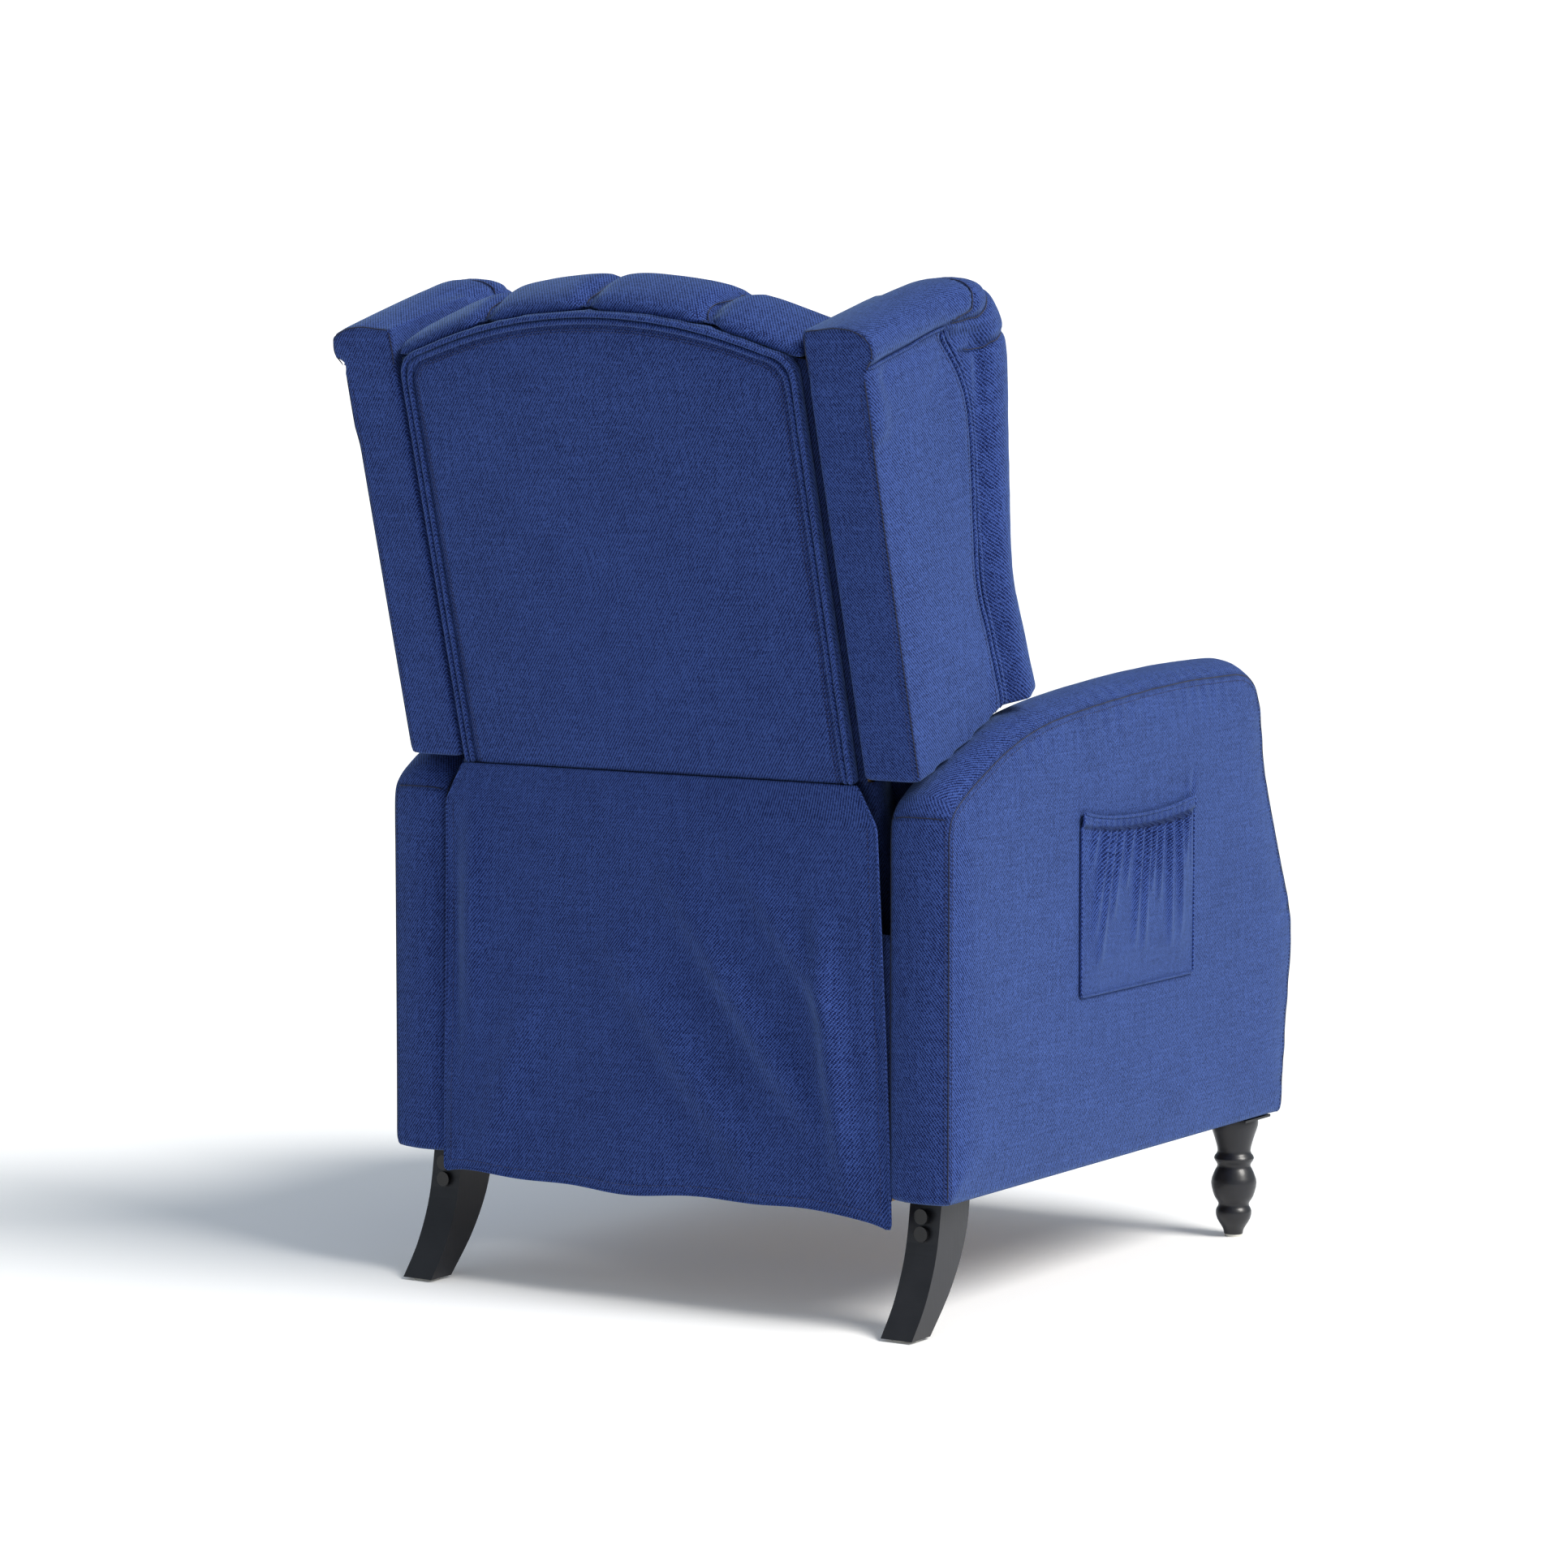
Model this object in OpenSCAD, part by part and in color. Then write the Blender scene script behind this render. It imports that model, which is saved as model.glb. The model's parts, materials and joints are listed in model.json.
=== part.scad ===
/* [Overall] */
// Width over the arms
chair_w = 700; // [660:5:760]
// Width of one arm
arm_w = 75; // [65:5:90]
// Underside of the body above the floor
leg_h = 137; // [120:1:160]
// Height of the side seam along the top of the arms
arm_h = 639; // [610:5:680]
// From the nose of the arms to their rear face
arm_depth = 747; // [720:5:800]
/* [Back] */
// Length of the back along its slope, bottom rail to top of the padding
back_len = 757; // [720:5:800]
// Lean of the upright back from the vertical
back_lean = 14.75; // [12:0.25:17]
// Gap between the outside back panel and the wings
panel_gap = 7; // [4:1:12]
// Rise of the arched top of the back
arch_rise = 52; // [30:2:60]
// Thickness of the wings
wing_t = 68; // [56:2:76]
/* [Seat and footrest] */
// Thickness of the seat cushion at its edge
cushion_t = 122; // [100:2:140]
// Height of the footrest panel
footrest_h = 193; // [170:1:194]
/* [Side pocket] */
// Width of the side pocket
pocket_w = 244; // [200:2:280]
// Height of the side pocket
pocket_h = 188; // [150:2:210]
// How far the pocket stands out from the arm
pocket_d = 12; // [9:1:14]
/* [Linkage] */
// Length of the swing links that carry the seat
swing_len = 110; // [104:1:112]
// Angle of the swing links at rest, seat back
swing_rest = -10; // [-14:1:-6]
// Running clearance of a pin in its hole
pin_play = 0.05; // [0.02:0.01:0.1]
/* [Hidden] */
$fn = 48;

// Colours
fabric = [0.10, 0.20, 0.45];
timber = [0.72, 0.58, 0.40];
steel = [0.30, 0.31, 0.33];
black = [0.03, 0.03, 0.035];
pale = [0.75, 0.74, 0.70];

// Sideways stations, from the centre outwards
half_w = chair_w / 2;
arm_in = half_w - arm_w;
skin = 15; // padding on the outer face of the arm
inner_pad = 25; // padding on the inner face of the arm
band_t = 12; // thickness of the band round the arm's edge
plate_t = 3; // thickness of a link
pitch = 4; // spacing of the link layers
rail_x = arm_in - 4; // inner face of the base rail
swing_x = rail_x - pitch;
seat_x = swing_x - pitch;
outer_x = seat_x - pitch;
crank_x = outer_x - pitch;
coupler_x = crank_x - pitch;

// Fore and aft stations; the origin lies centred under the chair's footprint
origin_back = 437; // from the nose of the arms to the origin
nose_y = -origin_back;
arm_rear_y = nose_y + arm_depth;
seat_z = 350; // underside of the seat cushion
low_side_z = seat_z - 12; // top of the thick lower part of the arm frame

// Back, measured up its slope from the foot of its rear face
back_foot = [arm_rear_y - 59, 330];
back_pivot = [arm_rear_y - 102, 440];
frame_front = 40; // front face of the back's timber frame
cushion_front = 150; // front face of the back cushion
wing_in = arm_in - 25;
wing_out = wing_in + wing_t;
arch_side = back_len - 77;
arch_top = arch_side + arch_rise;
flap_u = 238; // seam of the flap, up the back's slope
roll_u = back_len - 67; // centre of the wing's top roll

// Pivots of the linkage as [y, z]
swing_front = [arm_rear_y - 477, 300];
swing_rear = [arm_rear_y - 287, 300];
swing_hang = swing_len * [-sin(swing_rest), -cos(swing_rest)];
crank_front = [nose_y + 130, 285];
crank_rear = crank_front + [90, 0];
crank_arm = [105, -52];
steer_rear = crank_front + [115, -65];
board_hinge = crank_front + [-36, -11];
steer_front = board_hinge + [-2, -28];
drive_seat = [arm_rear_y - 257, 280];
drive_back = [back_pivot[0] + 7, 350];
link_r = 9;
pin_r = 4;
steer_slack = 5; // room in the open pivot of the steering link
drive_slack = 3; // room in the open pivot of the drive link

// Legs
front_leg_at = [half_w - 43, nose_y + 57];
rear_leg_x = [half_w - 67, half_w - 30];
glide_t = 3;
leg_plate_t = 3;

// Seat and footrest
seat_front_y = nose_y + 25;
seat_rear_y = arm_rear_y - 212;
seat_half = arm_in - 5;
footrest_top = seat_z - 5;
footrest_rear_y = nose_y + 66;
board_t = 18;

// Catmull-Rom curve through points, with n steps in each stretch
function blend(a, b, c, d, t) =
    0.5 * (2 * b + (c - a) * t + (2 * a - 5 * b + 4 * c - d) * t * t
    + (3 * b - a - 3 * c + d) * t * t * t);
function curve(p, n) = concat(
    [for (i = [0 : len(p) - 2]) for (j = [0 : n - 1])
        blend(p[max(i - 1, 0)], p[i], p[i + 1], p[min(i + 2, len(p) - 1)], j / n)],
    [p[len(p) - 1]]);
function ends_at(p, i) = p[min(i + 1, len(p) - 1)] - p[max(i - 1, 0)];
function outward(p, i) = let (d = ends_at(p, i)) [-d[1], d[0]] / norm([d[0], d[1]]);
function shifted(p, d) = [for (i = [0 : len(p) - 1]) p[i] + d * outward(p, i)];
function flat2(p) = [for (q = p) [q[0], q[1]]];

// Closed solid through rings with the same number of points; the ends close round the middle of the hub points
module loft(rings, hub = undef) {
    n = len(rings[0]);
    last = len(rings) - 1;
    sides = [for (i = [0 : last - 1]) for (j = [0 : n - 1]) let (k = (j + 1) % n)
        each [[i * n + j, i * n + k, (i + 1) * n + k],
              [i * n + j, (i + 1) * n + k, (i + 1) * n + j]]];
    near_cap = [for (j = [0 : n - 1]) [(j + 1) % n, j, (last + 1) * n]];
    far_cap = [for (j = [0 : n - 1]) [last * n + j, last * n + (j + 1) % n, (last + 1) * n + 1]];
    around = is_undef(hub) ? [0 : n - 1] : hub;
    polyhedron(concat([for (r = rings) each r],
        [for (r = [rings[0], rings[last]]) centre([for (k = around) r[k]])]),
        concat(sides, near_cap, far_cap));
}
function sum(v, i = 0) = i == len(v) ? 0 : v[i] + sum(v, i + 1);
function centre(p) = [for (k = [0 : 2]) sum([for (q = p) q[k]]) / len(p)];

// Extrusion of a [y, z] outline from one sideways station to another
module slab(outline, x0, x1)
    translate([x0, 0, 0]) rotate([90, 0, 90]) linear_extrude(x1 - x0) polygon(outline);

// Round bar along X at [y, z]
module cross(at, r, x0, x1)
    translate([x0, at[0], at[1]]) rotate([0, 90, 0]) cylinder(r = r, h = x1 - x0);

// Flat link with round ends between two points
module link(p, q, x, r) {
    a = atan2(q[1] - p[1], q[0] - p[0]);
    slab(concat(
        [for (t = [-90 : 15 : 90]) q + r * [cos(a + t), sin(a + t)]],
        [for (t = [90 : 15 : 270]) p + r * [cos(a + t), sin(a + t)]]), x, x + plate_t);
}

// The left side is built; the right side is its mirror image
module right() mirror([1, 0, 0]) children();
module both() {
    children();
    right() children();
}

// Frame of the sloping back: Y to the rear of its rear face, Z up the slope
module on_back()
    translate([0, back_foot[0], back_foot[1]]) rotate([-back_lean, 0, 0]) children();

// Arm: side outline from the bottom of the front, over the top, to the rear
arm_front = [
    [nose_y + 22, leg_h], [nose_y + 12, leg_h + 100], [nose_y, leg_h + 211], [nose_y + 27, arm_h - 214],
    [nose_y + 68, arm_h - 109], [nose_y + 77, arm_h - 50], [nose_y + 89, arm_h - 19],
    [nose_y + 113, arm_h - 3], [nose_y + 160, arm_h + 1], [arm_rear_y - 436, arm_h - 2],
    [arm_rear_y - 236, arm_h - 19], [arm_rear_y - 135, arm_h - 40], [arm_rear_y - 53, arm_h - 75],
    [arm_rear_y - 14, arm_h - 98]];
arm_side = concat(curve(arm_front, 3), [[arm_rear_y - 3, arm_h - 110], [arm_rear_y, arm_h - 132],
    [arm_rear_y, arm_h - 300], [arm_rear_y, leg_h]]);
arm_core = shifted(arm_side, -band_t);
function crown(n) = max(3, 18 * n[1], -8 * n[0]);

module arm_frame() color(timber) {
    slab(arm_core, arm_in + inner_pad, half_w - skin);
    difference() {
        intersection() {
            slab(arm_core, arm_in, arm_in + inner_pad);
            translate([0, nose_y, 0]) cube([half_w, arm_depth, low_side_z]);
        }
        for (at = rail_bolt_at) cross(at, pin_r + pin_play, arm_in - 1, arm_in + inner_pad);
    }
}
module arm_outer_panel() color(fabric) slab(arm_core, half_w - skin, half_w);
module arm_inner_panel() color(fabric) intersection() {
    slab(arm_core, arm_in, arm_in + inner_pad);
    translate([0, nose_y, low_side_z]) cube([half_w, arm_depth, arm_h]);
}
module arm_band() color(fabric) loft([for (i = [0 : len(arm_side) - 1])
    let (p = arm_side[i], n = outward(arm_side, i), q = p - band_t * n, c = crown(n))
    concat(
        [for (k = [0 : 8]) let (s = k / 4 - 1, at = p + c * (1 - s * s) * n)
            [arm_in + arm_w * k / 8, at[0], at[1]]],
        [[half_w, q[0], q[1]], [arm_in, q[0], q[1]]])]);

// Pocket on the outer face of the right arm, open at the top
pocket_at = [nose_y + 249, leg_h + 187];
cloth_t = 2.4;
hem_h = 14;
module side_pocket() color(fabric) right() difference() {
    translate([half_w, pocket_at[0], pocket_at[1]]) cube([pocket_d - cloth_t, pocket_w, pocket_h]);
    translate([half_w - 1, pocket_at[0] + 3, pocket_at[1] + 3])
        cube([pocket_d - 2 * cloth_t + 1, pocket_w - 6, pocket_h]);
}
module pocket_hem() color(fabric) right()
    translate([half_w + pocket_d - cloth_t, pocket_at[0], pocket_at[1] + pocket_h - hem_h])
        cube([cloth_t, pocket_w, hem_h]);

// Cross rails between the arms
rail_bolt_at = [swing_front - [120, 0], swing_front + [130, 0], [arm_rear_y - 60, 300]];
rail_start = rail_bolt_at[0][0] - 30;
module front_rail() color(timber)
    translate([-arm_in, nose_y + 320, leg_h]) cube([2 * arm_in, 30, 26]);
module rear_rail() color(timber)
    translate([-arm_in, arm_rear_y - 32, leg_h]) cube([2 * arm_in, 27, 110]);

// Turned front leg: cup, ring and ball down to a tapered toe
leg_top = leg_h - leg_plate_t;
turning = [[10.5, glide_t], [12, 9], [18.5, 20], [20, 29], [17, 37], [22, 46], [25.5, 61], [22, 73],
    [18.5, 81], [22.5, 89], [18.5, 97], [22, 112], [26.5, leg_top - 8], [26.5, leg_top]];
module front_leg() color(black)
    translate([front_leg_at[0], front_leg_at[1], 0]) rotate_extrude()
        polygon(concat([[0, glide_t]], curve(turning, 3), [[0, leg_top]]));

// Rear leg: square section, swept backwards to its foot
sabre_front = [[arm_rear_y - 90, leg_top], [arm_rear_y - 85, 105], [arm_rear_y - 72, 74],
    [arm_rear_y - 48, 39], [arm_rear_y - 13, glide_t]];
sabre_rear = [[arm_rear_y + 23, glide_t], [arm_rear_y, 32], [arm_rear_y - 17, 64],
    [arm_rear_y - 27, 94], [arm_rear_y - 34, leg_top]];
module rear_leg() color(black) difference() {
    slab(concat(curve(sabre_front, 3), curve(sabre_rear, 3)), rear_leg_x[0], rear_leg_x[1]);
    leg_bolt_shanks(pin_r + pin_play);
}
module leg_plates() color(steel) both() {
    translate([front_leg_at[0] - 30, front_leg_at[1] - 30, leg_top]) cube([60, 60, leg_plate_t]);
    translate([rear_leg_x[0] - 4, arm_rear_y - 94, leg_top])
        cube([rear_leg_x[1] - rear_leg_x[0] + 8, 66, leg_plate_t]);
}
bolt_z = [leg_top - 12, leg_top - 30];
bolt_grip = 40; // length of a leg bolt's shank
module leg_bolt_shanks(r) for (z = bolt_z)
    translate([(rear_leg_x[0] + rear_leg_x[1]) / 2, arm_rear_y - 27 - bolt_grip, z])
        rotate([-90, 0, 0]) cylinder(r = r, h = bolt_grip + 1);
module rear_leg_bolts() color(black) both() {
    leg_bolt_shanks(pin_r);
    for (z = bolt_z) translate([(rear_leg_x[0] + rear_leg_x[1]) / 2, arm_rear_y - 27, z])
        rotate([-90, 0, 0]) cylinder(r = 8, h = 3.5);
}
module leg_glides() color(pale) both() {
    translate([front_leg_at[0], front_leg_at[1], 0]) cylinder(r = 10, h = glide_t);
    translate([(rear_leg_x[0] + rear_leg_x[1]) / 2, arm_rear_y + 5, 0]) cylinder(r = 14, h = glide_t);
}

// Base rail of the linkage, with the upright that carries the back's pin
module base_rail() color(steel) {
    difference() {
        union() {
            translate([rail_x, rail_start, 283]) cube([4, arm_rear_y - 30 - rail_start, 34]);
            translate([rail_x, back_pivot[0] - 18, 300]) cube([4, 36, back_pivot[1] - 300]);
            cross(back_pivot, 18, rail_x, arm_in);
        }
        for (at = [swing_front, swing_rear]) cross(at, pin_r + pin_play, rail_x - 1, arm_in + 1);
        for (at = rail_bolt_at) cross(at, pin_r + pin_play, rail_x - 1, arm_in + 1);
    }
    cross(back_pivot, 8, seat_x - 1, rail_x + 1);
    cross(back_pivot, 13, seat_x - 3.5, seat_x - 0.5);
}
module rail_bolts() color(pale) both() for (at = rail_bolt_at) {
    cross(at, pin_r, rail_x, arm_in + inner_pad - 2);
    cross(at, 8, rail_x - 3, rail_x);
}

// Seat carrier
module swing_links(at) color(steel) both() {
    link(at, at + swing_hang, swing_x, link_r + 2);
    cross(at, pin_r, swing_x, arm_in);
    cross(at + swing_hang, pin_r, seat_x - 2, swing_x + 1);
    cross(at + swing_hang, 7, seat_x - 3, seat_x - 0.3);
}
rail_front_y = nose_y + 104;
rail_top = 300;
module seat_rail() color(steel) {
    difference() {
        union() {
            translate([seat_x, rail_front_y, 270]) cube([plate_t, drive_seat[0] + 14 - rail_front_y, 30]);
            for (at = [swing_front, swing_rear]) link(at + [swing_hang[0], -15], at + swing_hang, seat_x, 12);
        }
        for (at = [swing_front, swing_rear])
            cross(at + swing_hang, pin_r + 0.3, seat_x - 1, seat_x + plate_t + 1);
        cross(drive_seat, pin_r + pin_play, seat_x - 1, seat_x + plate_t + 1);
    }
    translate([wing_in - 10, rail_front_y, rail_top - 3])
        cube([seat_x + 1 - wing_in + 10, drive_seat[0] - 20 - rail_front_y, 3]);
    for (at = [crank_front, crank_rear]) {
        cross(at, pin_r + 0.5, crank_x - 1, seat_x + 1);
        cross(at, 7, crank_x - 3, crank_x - 0.3);
    }
}
deck_half = wing_in;
deck_front = nose_y + 112;
deck_rear = seat_rear_y - 20;
module seat_frame() color(timber) difference() {
    translate([-deck_half, deck_front, rail_top])
        cube([2 * deck_half, deck_rear - deck_front, seat_z - rail_top]);
    translate([-deck_half + 40, deck_front + 40, rail_top - 1])
        cube([2 * deck_half - 80, deck_rear - deck_front - 80, seat_z]);
}
spring_count = 5;
wave_l = 29;
spring_waves = floor((deck_rear - deck_front - 80) / wave_l);
spring_wire = 3.5;
module seat_springs() color(steel) for (i = [0 : spring_count - 1]) {
    x = (i - (spring_count - 1) / 2) * (2 * deck_half - 110) / (spring_count - 1);
    run = deck_rear - deck_front - 80 - spring_wire;
    path = [for (k = [0 : 6 * spring_waves])
        [deck_front + 40 + spring_wire / 2 + run * k / (6 * spring_waves), 16 * sin(k * 60)]];
    translate([x, 0, seat_z - spring_wire - 4]) rotate([0, 0, 90]) mirror([0, 1, 0]) linear_extrude(spring_wire)
        polygon(concat(shifted(path, spring_wire / 2), [for (k = [len(path) - 1 : -1 : 0])
            path[k] - spring_wire / 2 * outward(path, k)]));
}
// Box cushion with crowned faces: half width, [y0, y1], [z0, z1], crown on top and on the front
module cushion(half, ys, zs, top, front) {
    steps = 12;
    loft([for (i = [0 : steps]) let (s = i / steps * 2 - 1, e = 1 - pow(abs(s), 6), c = 1 - s * s)
        let (trim = 10 * (1 - e))
        [for (q = concat(
            [for (k = [0 : 8]) let (t = k / 4 - 1) [lerp(ys[0], ys[1], k / 8), zs[1] - trim + top * c * (1 - t * t)]],
            [[ys[1], zs[0] + trim / 3]],
            [for (k = [0 : 3]) let (t = 2 * k / 4 - 1)
                [ys[0] - front * c * (k == 0 ? 0 : 1 - t * t), lerp(zs[0] + trim / 3, zs[1] - trim, k / 4)]]))
            [half * s, q[0], q[1]]]]);
}
function lerp(a, b, t) = a + (b - a) * t;
module seat_cushion() color(fabric)
    cushion(seat_half, [seat_front_y, seat_rear_y], [seat_z, seat_z + cushion_t], 14, 10);
module cross_tube() color(steel)
    cross([drive_seat[0] - 40, 283], 10, -seat_x, seat_x);

// Back
stile_w = 35;
module back_bracket() color(steel) {
    upper = [arm_rear_y - 55, 455];
    lower = [arm_rear_y - 68, 392];
    difference() {
        slab([drive_back + [-13, -12], back_pivot + [-17, -8], back_pivot + [-14, 14],
            back_pivot + [4, 19], upper + [8, 14], upper + [14, -6], lower + [12, -8],
            drive_back + [14, -10]], seat_x, seat_x + plate_t);
        cross(back_pivot, 8 + pin_play, seat_x - 1, seat_x + plate_t + 1);
        cross(drive_back, pin_r + drive_slack, seat_x - 1, seat_x + plate_t + 1);
    }
    for (at = [upper, lower]) cross(at, 8, wing_in + 5, seat_x + 1);
}
module back_frame() color(timber) on_back() difference() {
    translate([-wing_in - 5, -frame_front, 4]) cube([2 * wing_in + 10, frame_front - 8, arch_side - 6]);
    translate([-wing_in - 5 + stile_w, -frame_front - 1, 60])
        cube([2 * wing_in + 10 - 2 * stile_w, frame_front, arch_side - 120]);
    for (s = [-1, 1]) translate([s * (wing_in + 5) - 6, -frame_front - 1, wing_foot_u - 10])
        cube([12, frame_front, arch_side]);
}
arch_c = wing_in - panel_gap;
arch_r = (arch_c * arch_c + arch_rise * arch_rise) / (2 * arch_rise);
function arch(x) = arch_top - arch_r + sqrt(arch_r * arch_r - x * x);
panel_r = 25;
panel_outline = concat(
    [[arch_c, flap_u]],
    [for (a = [0 : 15 : 75]) [arch_c - panel_r + panel_r * cos(a), arch(arch_c - panel_r) - panel_r + panel_r * sin(a)]],
    [for (i = [0 : 12]) let (x = (arch_c - panel_r) * (1 - i / 6)) [x, arch(x)]],
    [for (a = [105 : 15 : 180]) [-arch_c + panel_r + panel_r * cos(a), arch(arch_c - panel_r) - panel_r + panel_r * sin(a)]],
    [[-arch_c, flap_u]]);
module outside_back_panel() color(fabric) on_back()
    rotate([90, 0, 0]) translate([0, 0, -8]) linear_extrude(16) polygon(panel_outline);
module back_cushion() color(fabric) on_back() {
    steps = 14;
    half = wing_in - 2;
    loft([for (i = [0 : steps]) let (s = 2 * i / steps - 1, x = half * s, a = arch(min(abs(x), arch_c - 1)))
        let (swell = 1 - pow(abs(s), 4), rise = back_len - arch_top)
        [for (q = concat(
            [[frame_front + 1, 8], [frame_front + 1, flap_u], [frame_front + 1, a + 2], [2, a + 2]],
            curve([[-3, a + 8], [8, a + rise * 0.75], [55, a + rise * (0.8 + 0.2 * swell)],
                [105, a + rise * 0.3], [135 + 10 * swell, a - 40], [140 + 10 * swell, a - 130],
                [128 + 12 * swell, a * 0.55], [140 + 10 * swell, a * 0.3], [140 + 10 * swell, 60]], 2),
            [[130 + 8 * swell, 8]]))
            [x, -q[0], q[1]]]], [2, 8, 10]);
}
button_cols = 3;
button_rows = 2;
module back_buttons() color(fabric) on_back() for (c = [0 : button_cols - 1]) for (r = [0 : button_rows - 1])
    translate([(c - 1) * 139, -cushion_front - 1, arch_side - 130 - 130 * r]) rotate([90, 0, 0])
        cylinder(r = 12, h = 5);

// Wings: padded board inside a thick roll that runs up the front and back along the top
wing_foot_u = flap_u + 3;
wing_path = [
    [195, wing_foot_u + 29, 27], [186, wing_foot_u + 109, 26], [181, wing_foot_u + 170, 27],
    [201, roll_u - 160, 32], [213, roll_u - 70, 36], [200, roll_u - 18, 36],
    [160, roll_u, 33], [80, roll_u + 2, 31], [-2, roll_u, 30]];
wing_spine = curve(wing_path, 3);
wing_edge_last = 12;
wing_outline = concat([[0, wing_foot_u]],
    [[-(wing_path[0][0] - 28), wing_foot_u + 26]],
    [for (i = [0 : wing_edge_last]) [-(wing_spine[i][0] - wing_spine[i][2] - 1), wing_spine[i][1]]],
    [[-170, roll_u - 38], [0, roll_u - 38]]);
module wing_layer(x0, x1) on_back() slab(wing_outline, x0, x1);
board_x = [wing_in + 30, wing_out - 20];
module wing_inner_pad() color(fabric) wing_layer(wing_in, board_x[0]);
module wing_frame() color(timber) wing_layer(board_x[0], board_x[1]);
module wing_outer_pad() color(fabric) wing_layer(board_x[1], wing_out);
roll_half = wing_t / 2 + 8;
module wing_roll() color(fabric) on_back() loft([for (i = [0 : len(wing_spine) - 1])
    let (p = wing_spine[i], n = outward(flat2(wing_spine), i))
    [for (a = [0 : 22.5 : 337.5]) let (d = p[2] * cos(a))
        [wing_in + roll_half + roll_half * sin(a), -(p[0] + n[0] * d), p[1] + n[1] * d]]]);
module wing_rear_cover() color(fabric) on_back()
    translate([wing_in + 2, 0, wing_foot_u]) cube([wing_t - 2, 4, roll_u - 40 - wing_foot_u]);

// Fabric flap that hangs from the back and hides the gap below it
flap_top = back_foot + flap_u * [sin(back_lean), cos(back_lean)] + [18, -3];
flap_low = [arm_rear_y + 2, leg_h - 15];
flap_drop = norm(flap_top - flap_low);
flap_angle = atan2(flap_top[0] - flap_low[0], flap_top[1] - flap_low[1]);
flap_t = 4;
module rear_flap() color(fabric) {
    cross(flap_top, flap_t + 1, -arch_c - 2, arch_c + 2);
    translate([0, flap_low[0], flap_low[1]]) rotate([90 - flap_angle, 0, 0])
        translate([0, 0, -flap_t]) linear_extrude(flap_t) polygon([
            [-half_w + 71, 0], [half_w - 71, 0], [half_w - 82, flap_drop - 42], [arch_c + 2, flap_drop],
            [-arch_c - 2, flap_drop], [-half_w + 82, flap_drop - 42]]);
}

// Links
module drive_links() color(steel) both() {
    link(drive_seat, drive_back, outer_x, link_r);
    for (at = [drive_seat, drive_back]) cross(at, pin_r, outer_x + 1, seat_x + plate_t);
}
module crank(at, tip) color(steel) difference() {
    link(at, tip, crank_x, link_r);
    cross(at, pin_r + 0.5 + pin_play, crank_x - 1, crank_x + plate_t + 1);
    children();
}
module rear_crank() crank(crank_rear, crank_rear + crank_arm)
    cross(crank_rear + crank_arm, pin_r + pin_play, crank_x - 1, crank_x + plate_t + 1);
module front_crank() crank(crank_front, steer_rear) {
    cross(crank_front + crank_arm, pin_r + 0.3, crank_x - 1, crank_x + plate_t + 1);
    cross(steer_rear, 2.5 + pin_play, crank_x - 1, crank_x + plate_t + 1);
}
module coupler() color(steel) {
    joints = [crank_rear + crank_arm, crank_front + crank_arm, board_hinge];
    link(joints[0], joints[1], coupler_x, link_r - 1);
    link(joints[1], joints[2], coupler_x, link_r - 1);
    for (at = joints) cross(at, pin_r, coupler_x + 1, crank_x + plate_t);
}
module steering_link() color(steel) {
    link(steer_rear, steer_front, outer_x, link_r - 1);
    cross(steer_rear, 2.5, crank_x, outer_x + 1);
    cross(steer_front, pin_r, crank_x, outer_x + 1);
}

// Footrest
board_y = footrest_rear_y;
module footrest_brackets() color(steel) both() difference() {
    union() {
        slab([[board_y, steer_front[1] - 17], [board_y, board_hinge[1] + 14], board_hinge + [-4, 10],
            board_hinge + [7, 7], board_hinge + [10, -2], steer_front + [14, 4], steer_front + [13, -8],
            steer_front + [4, -15]], crank_x, crank_x + plate_t);
        translate([crank_x - 18, board_y, steer_front[1] - 17]) cube([18, 3, 59]);
    }
    cross(board_hinge, pin_r + pin_play, crank_x - 1, crank_x + plate_t + 1);
    cross(steer_front, pin_r + steer_slack, crank_x - 1, crank_x + plate_t + 1);
}
module footrest_board() color(timber)
    translate([-seat_half + 12, board_y - board_t, footrest_top - footrest_h + 8])
        cube([2 * seat_half - 24, board_t, footrest_h - 16]);
module footrest_pad() color(fabric)
    translate([0, 0, footrest_top]) rotate([-90, 0, 0])
        cushion(seat_half, [0, footrest_h], [nose_y + 16, board_y - board_t], 0, 0);

arm_frame();  // left_arm_frame
right() arm_frame();  // right_arm_frame
arm_outer_panel();  // left_arm_outer_panel
right() arm_outer_panel();  // right_arm_outer_panel
arm_inner_panel();  // left_arm_inner_panel
right() arm_inner_panel();  // right_arm_inner_panel
arm_band();  // left_arm_band
right() arm_band();  // right_arm_band
side_pocket();
pocket_hem();
front_rail();
rear_rail();
front_leg();  // left_front_leg
right() front_leg();  // right_front_leg
rear_leg();  // left_rear_leg
right() rear_leg();  // right_rear_leg
leg_plates();
rear_leg_bolts();
leg_glides();
base_rail();  // left_base_rail
right() base_rail();  // right_base_rail
rail_bolts();
swing_links(swing_front);  // front_swing_links
swing_links(swing_rear);  // rear_swing_links
seat_rail();  // left_seat_rail
right() seat_rail();  // right_seat_rail
seat_frame();
seat_springs();
seat_cushion();
cross_tube();
back_bracket();  // left_back_bracket
right() back_bracket();  // right_back_bracket
back_frame();
back_cushion();
back_buttons();
outside_back_panel();
wing_frame();  // left_wing_frame
right() wing_frame();  // right_wing_frame
wing_inner_pad();  // left_wing_inner_pad
right() wing_inner_pad();  // right_wing_inner_pad
wing_outer_pad();  // left_wing_outer_pad
right() wing_outer_pad();  // right_wing_outer_pad
wing_roll();  // left_wing_roll
right() wing_roll();  // right_wing_roll
wing_rear_cover();  // left_wing_rear_cover
right() wing_rear_cover();  // right_wing_rear_cover
rear_flap();
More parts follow.
